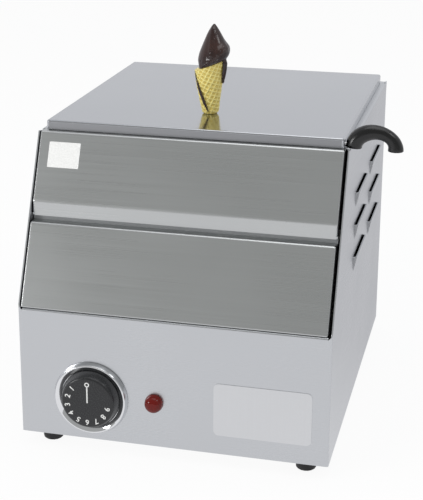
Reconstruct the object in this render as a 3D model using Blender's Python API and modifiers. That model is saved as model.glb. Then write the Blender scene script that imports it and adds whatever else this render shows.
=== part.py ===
"""A counter-top chocolate warmer of folded stainless sheet, modelled piece by piece.

Case frame, in metres: x runs to the right from the middle of the case, y from the lower front towards the
back, z up from the case's bottom. The whole machine hangs on one empty, which stands it on the origin.
"""
import math

import bmesh
import bpy
from mathutils import Matrix, Vector

for old in list(bpy.data.objects):
    bpy.data.objects.remove(old, do_unlink=True)

MM = 0.001

# Driving sizes of the case
case_width = 300 * MM
case_depth = 380 * MM
case_height = 284 * MM
front_height = 128 * MM
deck_set_back = 70 * MM
sheet = 1.2 * MM
bend_radius = 2 * MM
seat_gap = 0.3 * MM
cut_overrun = 4 * MM

half_width = case_width / 2
between_sides = half_width - sheet - seat_gap
slope_rise = case_height - front_height
slope_length = math.hypot(deck_set_back, slope_rise)
along_y = deck_set_back / slope_length
along_z = slope_rise / slope_length
zero = Vector((0, 0, 0))

parts = bpy.data.collections.new("chocolate_warmer")
cutters = bpy.data.collections.new("cutters")
bpy.context.scene.collection.children.link(parts)
bpy.context.scene.collection.children.link(cutters)


def empty_at(name, place, parent=None):
    """An empty that carries pieces, on a joint's axis or at the case's corner."""
    empty = bpy.data.objects.new(name, None)
    parts.objects.link(empty)
    empty.parent = parent
    empty.location = Vector(place)
    return empty


machine = empty_at("machine", zero)


def finish(name, colour, metallic, roughness):
    material = bpy.data.materials.new(name)
    material.use_nodes = True
    shader = material.node_tree.nodes["Principled BSDF"]
    shader.inputs["Base Color"].default_value = (*colour, 1)
    shader.inputs["Metallic"].default_value = metallic
    shader.inputs["Roughness"].default_value = roughness
    return material


def brushed_sheet(name):
    return finish(name, (0.62, 0.63, 0.65), 1.0, 0.35)


def bright_steel(name):
    return finish(name, (0.75, 0.75, 0.77), 1.0, 0.18)


def black_plastic(name):
    return finish(name, (0.02, 0.02, 0.02), 0.0, 0.4)


def add_part(name, mesh, look, carrier=machine):
    """A piece whose mesh is in the case frame, carried by the machine or by a joint's empty."""
    mesh.materials.append(look(name + "_finish"))
    piece = bpy.data.objects.new(name, mesh)
    parts.objects.link(piece)
    piece.parent = carrier
    piece.location = -carrier.location if carrier is not machine else zero
    return piece


def add_cutter(name, mesh):
    tool = bpy.data.objects.new(name, mesh)
    cutters.objects.link(tool)
    tool.parent = machine
    tool.hide_render = True
    tool.display_type = "WIRE"
    return tool


def boolean(piece, tool, operation="DIFFERENCE"):
    change = piece.modifiers.new(tool.name, "BOOLEAN")
    change.operation = operation
    change.solver = "EXACT"
    change.object = tool


def mesh_of(bm, name, smooth=False):
    mesh = bpy.data.meshes.new(name)
    bm.to_mesh(mesh)
    bm.free()
    if smooth:
        mesh.shade_smooth()
        mesh.set_sharp_from_angle(angle=math.radians(35))
    return mesh


def turn_to(axis):
    """The rotation that takes +Z to the named axis."""
    if axis == "X":
        return Matrix.Rotation(math.radians(90), 4, "Y")
    if axis == "Y":
        return Matrix.Rotation(math.radians(-90), 4, "X")
    return Matrix.Identity(4)


def add_cylinder(bm, place, radius, length, axis, sides=24):
    """A cylinder from its start point along the axis."""
    lift = Matrix.Translation((0, 0, length / 2))
    where = Matrix.Translation(place) @ turn_to(axis) @ lift
    bmesh.ops.create_cone(bm, cap_ends=True, segments=sides, radius1=radius, radius2=radius,
                          depth=length, matrix=where)


def add_box(bm, low, high):
    low, high = Vector(low), Vector(high)
    size = high - low
    where = Matrix.Translation((low + high) / 2) @ Matrix.Diagonal((*size, 1))
    bmesh.ops.create_cube(bm, size=1, matrix=where)


def drill(piece, name, places, radius, length, axis, sides=24):
    """Holes of one radius through a piece, each centred on its place."""
    bm = bmesh.new()
    direction = turn_to(axis) @ Vector((0, 0, 1))
    for place in places:
        add_cylinder(bm, Vector(place) - direction * length / 2, radius, length, axis, sides)
    boolean(piece, add_cutter(name, mesh_of(bm, name)))


def prism_mesh(name, outline, along):
    """A flat outline of points, pushed along a vector into a solid."""
    bm = bmesh.new()
    face = bm.faces.new([bm.verts.new(point) for point in outline])
    pushed = bmesh.ops.extrude_face_region(bm, geom=[face])["geom"]
    moved = [item for item in pushed if isinstance(item, bmesh.types.BMVert)]
    bmesh.ops.translate(bm, verts=moved, vec=along)
    bmesh.ops.recalc_face_normals(bm, faces=bm.faces)
    return mesh_of(bm, name)


def soften(piece, width, segments=2):
    bevel = piece.modifiers.new("Rounded edges", "BEVEL")
    bevel.width = width
    bevel.segments = segments
    bevel.limit_method = "ANGLE"


def folded_sheet(name, points, faces, inside, look, carrier=machine, thickness=sheet):
    """Sheet metal: flat faces, outer side out, with a bend on each edge that two of them share."""
    bm = bmesh.new()
    corners = [bm.verts.new(point) for point in points]
    for face in faces:
        bm.faces.new([corners[index] for index in face])
    bmesh.ops.recalc_face_normals(bm, faces=bm.faces)
    widest = max(bm.faces, key=lambda face: face.calc_area())
    if widest.normal.dot(widest.calc_center_median() - Vector(inside)) < 0:
        bmesh.ops.reverse_faces(bm, faces=bm.faces)
    weight = bm.edges.layers.float.new("bevel_weight_edge")
    for edge in bm.edges:
        edge[weight] = 1.0 if len(edge.link_faces) == 2 else 0.0
    piece = add_part(name, mesh_of(bm, name), look, carrier)
    bends = piece.modifiers.new("Bends", "BEVEL")
    bends.width = bend_radius
    bends.segments = 3
    bends.limit_method = "WEIGHT"
    wall = piece.modifiers.new("Sheet", "SOLIDIFY")
    wall.thickness = thickness
    wall.offset = -1
    wall.use_even_offset = True
    return piece


def tray(name, low, high, drop, inside, look, carrier=machine):
    """A rectangular plate at the height of low, with a wall folded along z on all four sides."""
    ring = [(low[0], low[1]), (high[0], low[1]), (high[0], high[1]), (low[0], high[1])]
    points = [(x, y, low[2]) for x, y in ring] + [(x, y, low[2] + drop) for x, y in ring]
    walls = [(side, (side + 1) % 4, (side + 1) % 4 + 4, side + 4) for side in range(4)]
    return folded_sheet(name, points, [(0, 1, 2, 3)] + walls, inside, look, carrier)


def pressed_panel(name, profile, cheek, panel_half, inside, look):
    """A panel folded to a profile of (y, z) points, closed at each end by a cheek.

    The cheek runs along the first points of the profile, as many as it says, and then its own points.
    """
    along, corners = cheek
    points = []
    for x in (-panel_half, panel_half):
        points += [(x, y, z) for y, z in profile + corners]
    stride = len(profile) + len(corners)
    faces = [(i, i + 1, stride + i + 1, stride + i) for i in range(len(profile) - 1)]
    rim = list(range(along)) + list(range(len(profile), stride))
    faces += [tuple(rim), tuple(stride + index for index in rim)]
    return folded_sheet(name, points, faces, inside, look)


def turned(name, profile, place, axis, look, carrier=machine, steps=32, closed=False):
    """A turned piece: a profile of (radius, height) points, down its outer side, spun by Screw."""
    mesh = bpy.data.meshes.new(name)
    edges = [(i, i + 1) for i in range(len(profile) - 1)]
    if closed:
        edges.append((len(profile) - 1, 0))
    mesh.from_pydata([(radius, 0, height) for radius, height in profile], edges, [])
    piece = add_part(name, mesh, look, carrier)
    piece.location = Vector(place) + piece.location
    piece.rotation_euler = turn_to(axis).to_euler()
    screw = piece.modifiers.new("Turned", "SCREW")
    screw.angle = math.radians(360)
    screw.steps = steps
    screw.render_steps = steps
    screw.use_merge_vertices = True
    screw.merge_threshold = 0.00001
    return piece


def tube_mesh(name, points, radii, sides_share=2):
    """A tube along points, as a mesh with its caps welded on."""
    curve = bpy.data.curves.new(name, "CURVE")
    curve.dimensions = "3D"
    curve.bevel_depth = max(radii)
    curve.bevel_resolution = sides_share
    curve.use_fill_caps = True
    spline = curve.splines.new("POLY")
    spline.points.add(len(points) - 1)
    for knot, point, radius in zip(spline.points, points, radii):
        knot.co = (*point, 1)
        knot.radius = radius / max(radii)
    holder = bpy.data.objects.new(name + "_curve", curve)
    parts.objects.link(holder)
    bpy.context.view_layer.update()
    graph = bpy.context.evaluated_depsgraph_get()
    mesh = bpy.data.meshes.new_from_object(holder.evaluated_get(graph))
    bpy.data.objects.remove(holder, do_unlink=True)
    bm = bmesh.new()
    bm.from_mesh(mesh)
    bmesh.ops.remove_doubles(bm, verts=bm.verts, dist=0.000001)
    bmesh.ops.recalc_face_normals(bm, faces=bm.faces)
    bm.to_mesh(mesh)
    bm.free()
    mesh.name = name
    mesh.materials.clear()
    mesh.shade_smooth()
    mesh.set_sharp_from_angle(angle=math.radians(40))
    return mesh


def smooth_route(knots, steps):
    """Points on a smooth curve through the knots, as a Catmull-Rom spline."""
    knots = [Vector(knot) for knot in knots]
    padded = [2 * knots[0] - knots[1]] + knots + [2 * knots[-1] - knots[-2]]
    route = []
    for i in range(1, len(padded) - 2):
        before, start, end, after = padded[i - 1:i + 3]
        for step in range(steps):
            t = step / steps
            route.append(0.5 * (2 * start + (end - before) * t
                                + (2 * before - 5 * start + 4 * end - after) * t ** 2
                                + (3 * start - before - 3 * end + after) * t ** 3))
    return route + [knots[-1]]


# Case wrap: one sheet folded into both sides and the lower front, with louvres pressed into the sides
ledge_width = 12.4 * MM
front_return = 14 * MM
front_return_relief = 4 * MM
rear_return_width = 12 * MM
rear_return_relief = 16 * MM
panel_ledge = 10 * MM

ledge_front = deck_set_back + panel_ledge + seat_gap
back_face = case_depth - sheet - seat_gap
ledge_back = back_face - ledge_width + sheet

louvre_length = 75 * MM
louvre_height = 15 * MM
louvre_depth = 3.4 * MM
louvre_foot_depth = 0.9 * MM
louvre_end_slope = 2.5 * MM
louvre_slit = 0.4 * MM
louvre_pitch = 33 * MM
louvre_below_top = 58 * MM
louvre_column_gap = 40 * MM
louvre_from_back = 60 * MM
louvre_rows = 3

knob_from_side = 71.4 * MM
knob_z = 43.4 * MM
lamp_from_knob = 62.1 * MM
lamp_z = 45 * MM
shaft_radius = 3 * MM
lamp_body_radius = 5.5 * MM
running_gap = 1 * MM

knob_x = knob_from_side - half_width
lamp_x = knob_x + lamp_from_knob
louvre_top = case_height - louvre_below_top
rear_column = case_depth - louvre_from_back - louvre_length
louvre_columns = (rear_column - louvre_column_gap - louvre_length, rear_column)

back_screw_radius = 1.8 * MM
back_screw_inset = 6 * MM
back_screw_low = 60 * MM
back_screw_below_top = 74 * MM
back_screw_heights = (back_screw_low, case_height - back_screw_below_top)


def scoop_mesh(name, inset, depth, foot_depth, face_in, top, drop):
    """A wedge for each louvre, both sides: furthest out at its top, falling back towards its foot."""
    bm = bmesh.new()
    for side in (-1, 1):
        for front in louvre_columns:
            for row in range(louvre_rows):
                z_top = louvre_top - row * louvre_pitch
                near, far = front + inset, front + louvre_length - inset
                wall_x, lip_x, foot_x = (side * (half_width + out) for out in (-face_in, depth, foot_depth))
                slope = louvre_end_slope
                corners = [(wall_x, near, z_top + top), (wall_x, far, z_top + top),
                           (lip_x, near + slope, z_top + top), (lip_x, far - slope, z_top + top),
                           (foot_x, near + slope, z_top - drop + slope), (foot_x, far - slope, z_top - drop + slope),
                           (wall_x, near, z_top - drop), (wall_x, far, z_top - drop)]
                made = [bm.verts.new(corner) for corner in corners]
                bmesh.ops.convex_hull(bm, input=made)
    return mesh_of(bm, name)


def side_wrap():
    points, faces = [], []
    for side in (-1, 1):
        x, start = side * half_width, len(points)
        outline = [(0, 0), (0, front_height), (deck_set_back, case_height), (ledge_front, case_height),
                   (ledge_back, case_height), (case_depth, case_height), (case_depth, case_height - rear_return_relief),
                   (case_depth, 0)]
        points += [(x, y, z) for y, z in outline]
        faces.append(tuple(range(start, start + len(outline))))
        inner = x - side * ledge_width
        points += [(inner, ledge_front, case_height), (inner, ledge_back, case_height)]
        faces.append((start + 3, start + 4, start + 9, start + 8))
        inner = x - side * rear_return_width
        points += [(inner, case_depth, case_height - rear_return_relief), (inner, case_depth, 0)]
        faces.append((start + 6, start + 7, start + 11, start + 10))
    right = len(points) // 2
    return_half = half_width - front_return_relief
    points += [(-return_half, 0, front_height), (return_half, 0, front_height),
               (return_half, front_return, front_height), (-return_half, front_return, front_height)]
    fold = 2 * right
    faces.append((0, right, right + 1, fold + 1, fold, 1))
    faces.append((fold, fold + 1, fold + 2, fold + 3))
    wrap = folded_sheet("side_wrap", points, faces, (0, case_depth / 2, front_height / 2), brushed_sheet)

    humps = scoop_mesh("louvre_humps", 0, louvre_depth, louvre_foot_depth, sheet / 2, 0, louvre_height)
    boolean(wrap, add_cutter("louvre_humps", humps), "UNION")
    hollows = scoop_mesh("louvre_hollows", sheet, louvre_depth - sheet, louvre_foot_depth - sheet,
                         sheet + louvre_slit, louvre_slit, louvre_height - sheet)
    boolean(wrap, add_cutter("louvre_hollows", hollows))
    drill(wrap, "front_holes", [(knob_x, 0, knob_z)], shaft_radius + running_gap, cut_overrun * 2, "Y")
    drill(wrap, "lamp_hole", [(lamp_x, 0, lamp_z)], lamp_body_radius + seat_gap, cut_overrun * 2, "Y")
    rear = [(side * (half_width - back_screw_inset), case_depth, z)
            for side in (-1, 1) for z in back_screw_heights]
    drill(wrap, "rear_return_holes", rear, back_screw_radius + seat_gap, cut_overrun, "Y", 16)


side_wrap()

# Slanted front: a lower panel on the wrap's return, and an upper panel whose lip hangs behind its top
panel_side_gap = 3 * MM
lower_panel_share = 0.4831
lower_panel_foot = 12 * MM
lower_panel_top = 20 * MM
lower_panel_upturn = 9 * MM
panel_split = 20.2 * MM
lip_height = 14.2 * MM
lip_cheek = 7 * MM
panel_half = half_width - sheet - panel_side_gap
lower_panel_rise = slope_length * lower_panel_share
upper_panel_start = lower_panel_rise + panel_split


def on_slope(distance):
    """The (y, z) of a point on the slanted front, by its distance up from the bend."""
    return (distance * along_y, front_height + distance * along_z)


def lower_front_panel():
    foot_z = front_height + seat_gap
    foot_y = seat_gap * along_y / along_z
    top_y, top_z = on_slope(lower_panel_rise)
    profile = [(foot_y + lower_panel_foot, foot_z), (foot_y, foot_z), (top_y, top_z),
               (top_y + lower_panel_top, top_z),
               (top_y + lower_panel_top, top_z + lower_panel_upturn)]
    pressed_panel("lower_front_panel", profile, (4, []), panel_half, (0, top_y, (foot_z + top_z) / 2),
                  brushed_sheet)


def upper_front_panel():
    lip_y, lip_top = on_slope(upper_panel_start)
    profile = [(lip_y, lip_top - lip_height), (lip_y, lip_top), (deck_set_back, case_height),
               (deck_set_back + panel_ledge, case_height)]
    cheek = [(lip_y + lip_cheek, lip_top - lip_height)]
    pressed_panel("upper_front_panel", profile, (4, cheek), panel_half, (0, deck_set_back, lip_top),
                  brushed_sheet)


lower_front_panel()
upper_front_panel()

# Heated well and chocolate pan: two drawn tubs, one hanging in the other, with rims on the deck
well_side_margin = 19 * MM
well_front_margin = 17 * MM
well_back_margin = 21 * MM
well_depth = 120 * MM
well_wall = 1 * MM
well_rim = 6 * MM
well_corner = 30 * MM
pan_wall = 1 * MM
pan_rim = 8.5 * MM
pan_gap = 4 * MM
pan_depth = 100 * MM
pan_draft = 4 * MM
rim_fillet = 1.8 * MM
floor_fillet = 12 * MM

well_half_x = half_width - well_side_margin
well_front = deck_set_back + well_front_margin
well_back = case_depth - well_back_margin
deck_top = case_height - sheet - seat_gap
well_top = deck_top + seat_gap + well_wall
pan_top = well_top + seat_gap + pan_wall
well_floor = well_top - well_depth
well_centre_y = (well_front + well_back) / 2
well_half_y = (well_back - well_front) / 2
element_hole_margin = 27 * MM
element_leg_pitch = 40 * MM
element_legs = 4
element_radius = 4 * MM
element_hole_x = element_hole_margin - well_half_x
element_first_y = well_centre_y - element_leg_pitch * (element_legs - 1) / 2
element_last_y = element_first_y + element_leg_pitch * (element_legs - 1)


def rounded_ring(half_x, half_y, radius, centre_y, z, steps=3):
    """A rectangle with round corners, as points of one level."""
    ring = []
    for corner, (sx, sy) in enumerate(((1, 1), (-1, 1), (-1, -1), (1, -1))):
        for step in range(steps + 1):
            angle = math.radians(90) * (corner + step / steps)
            ring.append((sx * (half_x - radius) + radius * math.cos(angle),
                         centre_y + sy * (half_y - radius) + radius * math.sin(angle), z))
    return ring


def drawn_tub(name, half_x, half_y, corner, rim, top, depth, draft, wall, look):
    """A drawn tub: its inner skin lofted through rounded rings, given its wall outwards."""
    levels = [(rim, 0)]
    for step in range(3):
        angle = math.radians(90) * step / 2
        levels.append((rim_fillet * (1 - math.sin(angle)), -rim_fillet * (1 - math.cos(angle))))
    for step in range(4):
        angle = math.radians(90) * step / 3
        levels.append((-draft - floor_fillet * (1 - math.cos(angle)),
                       -depth + floor_fillet * (1 - math.sin(angle))))
    bm = bmesh.new()
    rings = []
    for grow, level in levels:
        ring = rounded_ring(half_x + grow, half_y + grow, corner + grow, well_centre_y, top + level)
        rings.append([bm.verts.new(point) for point in ring])
    for outer, inner in zip(rings, rings[1:]):
        for i in range(len(outer)):
            j = (i + 1) % len(outer)
            bm.faces.new((outer[i], outer[j], inner[j], inner[i]))
    bm.faces.new(rings[-1])
    bm.normal_update()
    above = Vector((0, well_centre_y, top + wall))
    for face in bm.faces:
        if face.normal.dot(above - face.calc_center_median()) < 0:
            face.normal_flip()
    piece = add_part(name, mesh_of(bm, name, smooth=True), look)
    skin = piece.modifiers.new("Wall", "SOLIDIFY")
    skin.thickness = wall
    skin.offset = -1
    skin.use_even_offset = True
    return piece


def heated_well():
    well = drawn_tub("heated_well", well_half_x, well_half_y, well_corner, well_rim, well_top,
                     well_depth, 0, well_wall, brushed_sheet)
    holes = [(element_hole_x, y, well_floor) for y in (element_first_y, element_last_y)]
    drill(well, "element_holes", holes, element_radius + seat_gap, cut_overrun, "Z", 20)


def chocolate_pan():
    drawn_tub("chocolate_pan", well_half_x - pan_gap, well_half_y - pan_gap, well_corner - pan_gap,
              pan_rim, pan_top, pan_depth, pan_draft, pan_wall, bright_steel)


heated_well()
chocolate_pan()

# Deck plate under the ledges, with the well's cut-out
deck_front_clear = 3 * MM


def top_deck():
    front = deck_set_back + deck_front_clear
    step_back = ledge_front + seat_gap
    back = back_face - sheet - seat_gap
    narrow = panel_half - sheet - seat_gap
    bottom = deck_top - sheet
    outline = [(-narrow, front), (narrow, front), (narrow, step_back), (between_sides, step_back),
               (between_sides, back), (-between_sides, back), (-between_sides, step_back),
               (-narrow, step_back)]
    plate = prism_mesh("top_deck", [(x, y, bottom) for x, y in outline], (0, 0, sheet))
    deck = add_part("top_deck", plate, brushed_sheet)
    clear = well_wall + rim_fillet + seat_gap
    ring = rounded_ring(well_half_x + clear, well_half_y + clear, well_corner + clear, well_centre_y,
                        bottom - cut_overrun)
    cut = prism_mesh("well_cut_out", ring, (0, 0, sheet + 2 * cut_overrun))
    boolean(deck, add_cutter("well_cut_out", cut))


top_deck()

# Base tray and back panel
base_wall = 12 * MM
bushing_from_side = 60 * MM
bushing_z = 45 * MM
bushing_neck = 6.5 * MM
base_screw_from_side = 90 * MM
foot_from_side = 24 * MM
foot_inset = 22 * MM
foot_screw_radius = 2 * MM

bushing_x = half_width - bushing_from_side
base_screw_x = half_width - base_screw_from_side
foot_x = half_width - foot_from_side
foot_places = [(name, x, y) for name, x, y in (
    ("front_left", -foot_x, foot_inset), ("front_right", foot_x, foot_inset),
    ("rear_left", -foot_x, case_depth - foot_inset), ("rear_right", foot_x, case_depth - foot_inset))]
base_back = back_face - sheet - seat_gap
back_screws = [(side * (half_width - back_screw_inset), case_depth, z)
               for side in (-1, 1) for z in back_screw_heights]
back_screws += [(side * base_screw_x, back_face, base_wall / 2) for side in (-1, 1)]


def base_tray():
    low = (-between_sides, sheet + seat_gap, 0)
    high = (between_sides, base_back, 0)
    base = tray("base_tray", low, high, base_wall, (0, case_depth / 2, base_wall), brushed_sheet)
    holes = [(x, y, 0) for name, x, y in foot_places]
    drill(base, "foot_holes", holes, foot_screw_radius + seat_gap, cut_overrun, "Z", 16)
    drill(base, "base_rear_holes", back_screws[-2:], back_screw_radius + seat_gap,
          2 * cut_overrun, "Y", 16)


def back_panel():
    half = between_sides
    points = [(-half, back_face, 0), (half, back_face, 0), (half, back_face, case_height),
              (-half, back_face, case_height), (half, back_face - ledge_width + sheet + seat_gap,
                                                case_height),
              (-half, back_face - ledge_width + sheet + seat_gap, case_height)]
    faces = [(0, 1, 2, 3), (3, 2, 4, 5)]
    panel = folded_sheet("back_panel", points, faces, (0, 0, 0), brushed_sheet)
    drill(panel, "back_panel_holes", back_screws, back_screw_radius + seat_gap, 2 * cut_overrun, "Y", 16)
    drill(panel, "bushing_hole", [(bushing_x, back_face, bushing_z)], bushing_neck + seat_gap,
          2 * cut_overrun, "Y")


base_tray()
back_panel()

screw_head_share = 1.9
screw_head_height = 1.6 * MM
back_screw_length = 9 * MM


def back_panel_screws():
    """Pan-head screws, driven from behind."""
    head = back_screw_radius * screw_head_share
    profile = [(0, screw_head_height), (head / 2, screw_head_height), (head, screw_head_height / 2),
               (head, 0), (back_screw_radius, 0), (back_screw_radius, -back_screw_length),
               (0, -back_screw_length)]
    for number, (x, y, z) in enumerate(back_screws, 1):
        turned(f"back_screw_{number}", profile, (x, y + seat_gap, z), "Y", bright_steel, steps=10)


back_panel_screws()

# Rubber feet with their screws
foot_height = 14 * MM
foot_radius = 11 * MM
foot_tip_radius = 9.6 * MM
foot_recess_radius = 5 * MM
foot_recess_depth = 7 * MM
foot_edge = 1 * MM
foot_screw_head = 3.6 * MM
foot_screw_length = 14 * MM


def rubber_feet():
    bore = foot_screw_radius + seat_gap
    top = -seat_gap
    profile = [(bore, top), (foot_radius, top), (foot_tip_radius, -foot_height + foot_edge),
               (foot_tip_radius - foot_edge, -foot_height), (foot_recess_radius, -foot_height),
               (foot_recess_radius, -foot_height + foot_recess_depth),
               (bore, -foot_height + foot_recess_depth)]
    head_top = -foot_height + foot_recess_depth - seat_gap
    screw = [(0, head_top + foot_screw_length), (foot_screw_radius, head_top + foot_screw_length),
             (foot_screw_radius, head_top), (foot_screw_head, head_top),
             (foot_screw_head, head_top - foot_screw_radius), (0, head_top - foot_screw_radius)]
    for name, x, y in foot_places:
        turned("foot_" + name, profile, (x, y, 0), "Z", black_plastic, steps=16, closed=True)
        turned("foot_screw_" + name, screw, (x, y, 0), "Z", bright_steel, steps=10)


rubber_feet()

# Lid: a shallow folded cover with a notch for the ladle, hinged along its back
lid_side_inset = 6 * MM
lid_front_inset = 6 * MM
lid_back_inset = 10 * MM
lid_height = 9.5 * MM
hinge_inset = 5 * MM
hinge_radius = 3 * MM
hinge_pin_radius = 1.5 * MM
hinge_length = 50 * MM
hinge_from_side = 65 * MM
hinge_leaf_drop = 22 * MM

hinge_x = half_width - hinge_from_side
lid_half = half_width - lid_side_inset
lid_front = deck_set_back + lid_front_inset
lid_back = case_depth - lid_back_inset
lid_top = case_height + lid_height
lid_under = lid_top - sheet
hinge_y = case_depth - hinge_inset
hinge_z = case_height + seat_gap + hinge_radius
lid_axis = empty_at("lid_axis", (0, hinge_y, hinge_z), machine)

cone_from_front = 67 * MM
cone_y = lid_front + cone_from_front
cone_x = 2.6 * MM
cone_screw_radius = 2.5 * MM
ladle_set_back = 14 * MM
ladle_y = deck_set_back + ladle_set_back
shank_radius = 1.75 * MM
shank_z = pan_top + seat_gap + shank_radius
notch_half = 3.5 * MM
notch_head = 1.6 * MM


def lid_shell():
    low = (-lid_half, lid_front, lid_top)
    high = (lid_half, lid_back, lid_top)
    middle = (0, (lid_front + lid_back) / 2, lid_top - lid_height / 2)
    lid = tray("lid_shell", low, high, seat_gap - lid_height, middle, brushed_sheet, lid_axis)
    drill(lid, "cone_screw_hole", [(cone_x, cone_y, lid_top)], cone_screw_radius + seat_gap,
          2 * cut_overrun, "Z", 16)
    bm = bmesh.new()
    add_box(bm, (lid_half - cut_overrun, ladle_y - notch_half, case_height - cut_overrun),
            (lid_half + cut_overrun, ladle_y + notch_half, shank_z + shank_radius + notch_head))
    boolean(lid, add_cutter("ladle_notch", mesh_of(bm, "ladle_notch")))


lid_shell()


def hinge(side_name, x):
    """One butt hinge: a leaf down the back panel, a leaf on the lid's back skirt, and a pin."""
    half = hinge_length / 2
    knuckle_half = half / 2
    strap = hinge_z - hinge_radius
    tail = back_face + seat_gap + sheet
    top = strap + sheet
    leaf = [(hinge_y, strap), (tail - sheet, strap), (tail - sheet, top - hinge_leaf_drop),
            (tail, top - hinge_leaf_drop), (tail, top), (hinge_y, top)]
    body_leaf = add_part(f"hinge_{side_name}_body_leaf", prism_mesh(
        "body_leaf", [(x - half, y, z) for y, z in leaf], (hinge_length, 0, 0)), bright_steel)
    plate_front = lid_back + seat_gap
    crown = hinge_z + hinge_radius
    wing = [(plate_front, case_height + 2 * seat_gap), (plate_front + sheet, case_height + 2 * seat_gap),
            (plate_front + sheet, crown - sheet), (hinge_y, crown - sheet), (hinge_y, crown),
            (plate_front, crown)]
    lid_leaf = add_part(f"hinge_{side_name}_lid_leaf", prism_mesh(
        "lid_leaf", [(x - half, y, z) for y, z in wing], (hinge_length, 0, 0)), bright_steel, lid_axis)
    axis = Vector((0, hinge_y, hinge_z))

    ends = bmesh.new()
    for start in (x - half, x + knuckle_half):
        add_cylinder(ends, axis + Vector((start, 0, 0)), hinge_radius, knuckle_half, "X", 20)
    boolean(body_leaf, add_cutter(f"{side_name}_body_knuckles", mesh_of(ends, "body_knuckles")), "UNION")
    middle = bmesh.new()
    add_cylinder(middle, axis + Vector((x - knuckle_half + seat_gap, 0, 0)), hinge_radius,
                 2 * (knuckle_half - seat_gap), "X", 20)
    boolean(lid_leaf, add_cutter(f"{side_name}_lid_knuckle", mesh_of(middle, "lid_knuckle")), "UNION")

    reach = hinge_radius + seat_gap
    clear_middle = bmesh.new()
    add_box(clear_middle, (x - knuckle_half, hinge_y - reach, hinge_z - reach),
            (x + knuckle_half, hinge_y + reach, hinge_z + reach))
    boolean(body_leaf, add_cutter(f"{side_name}_body_clear", mesh_of(clear_middle, "body_clear")))
    clear_ends = bmesh.new()
    for start in (x - half - cut_overrun, x + knuckle_half - seat_gap):
        add_box(clear_ends, (start, hinge_y - reach, hinge_z - reach),
                (start + knuckle_half + seat_gap + cut_overrun, hinge_y + reach, hinge_z + reach))
    boolean(lid_leaf, add_cutter(f"{side_name}_lid_clear", mesh_of(clear_ends, "lid_clear")))
    for leaf_piece in (body_leaf, lid_leaf):
        drill(leaf_piece, leaf_piece.name + "_bore", [(x, hinge_y, hinge_z)],
              hinge_pin_radius + seat_gap, hinge_length + 2 * cut_overrun, "X", 16)
    pin = bmesh.new()
    add_cylinder(pin, axis + Vector((x - half, 0, 0)), hinge_pin_radius, hinge_length, "X", 16)
    add_part(f"hinge_{side_name}_pin", mesh_of(pin, "hinge_pin", smooth=True), bright_steel)


hinge("left", -hinge_x)
hinge("right", hinge_x)

# Lid handle: a rolled wafer cone with a chocolate peak, held by a screw from under the lid
wafer_base_radius = 5.8 * MM
wafer_mouth_radius = 13.4 * MM
wafer_swell = 0.8
wafer_lean = 2 * MM
wafer_mean_height = 47.5 * MM
wafer_mouth_rise = 5.2 * MM
wafer_rib = 0.55 * MM
wafer_wrap_step = 1 * MM
wafer_around = 36
wafer_rings = 14
clearance_rings = 4
wafer_lattice_around = 9
wafer_lattice_up = 3.5
seam_foot_share = 0.75
seam_turn_share = 0.25
topping_height = 89 * MM
topping_offset = 6.6 * MM
topping_radius = 16.3 * MM
cone_screw_head = 4.6 * MM
cone_screw_head_height = 2.6 * MM
cone_screw_reach = 14 * MM

cone_foot = lid_top + seat_gap
wafer_fullest = wafer_rib + wafer_wrap_step + 2 * seat_gap


def wafer_mouth(sideways):
    """The height of the wafer's slanted mouth above its foot, that far to the right of its middle."""
    return wafer_mean_height + wafer_mouth_rise * sideways / wafer_mouth_radius


def wafer_radius(height):
    share = max(0, height / wafer_mean_height) ** wafer_swell
    return wafer_base_radius + (wafer_mouth_radius - wafer_base_radius) * share


def wafer_centre(height):
    """The wafer leans to the left as it rises from its screw."""
    return cone_x - wafer_lean * height / wafer_mean_height


def wafer_seam(height):
    """The share of a turn at which the wafer's outer edge lies: in front at its foot, at the left by its mouth."""
    return seam_foot_share - seam_turn_share * height / wafer_mean_height


def ridge(turns):
    """One at whole turns, falling to nought a fifth of a turn away."""
    away = abs(turns - round(turns))
    return max(0, 1 - 5 * away)


def cone_wafer():
    bm = bmesh.new()
    rings = []
    for ring in range(wafer_rings + 1):
        row = []
        for step in range(wafer_around):
            angle = math.radians(360) * step / wafer_around
            height = wafer_mouth(wafer_mouth_radius * math.cos(angle)) * ring / wafer_rings
            turn = step / wafer_around
            up = height / wafer_mean_height * wafer_lattice_up
            lattice = max(ridge(wafer_lattice_around * turn + up), ridge(wafer_lattice_around * turn - up))
            seam = wafer_seam(height)
            wrap = wafer_wrap_step * ((turn - seam) % 1)
            radius = wafer_radius(height) + wafer_rib * lattice + wrap
            if ring == wafer_rings:
                height = wafer_mouth(radius * math.cos(angle))
            row.append(bm.verts.new((wafer_centre(height) + radius * math.cos(angle),
                                     cone_y + radius * math.sin(angle), cone_foot + height)))
        rings.append(row)
    for low, high in zip(rings, rings[1:]):
        for i in range(wafer_around):
            j = (i + 1) % wafer_around
            bm.faces.new((low[i], low[j], high[j], high[i]))
    bm.faces.new(list(reversed(rings[0])))
    bm.faces.new(rings[-1])
    wafer = add_part("cone_wafer", mesh_of(bm, "cone_wafer", smooth=True),
                     lambda name: finish(name, (0.72, 0.5, 0.16), 0.0, 0.55), lid_axis)
    bore = bmesh.new()
    add_cylinder(bore, (cone_x, cone_y, cone_foot - cut_overrun), cone_screw_radius + seat_gap,
                 cut_overrun + cone_screw_reach, "Z", 16)
    boolean(wafer, add_cutter("wafer_bore", mesh_of(bore, "wafer_bore")))


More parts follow.
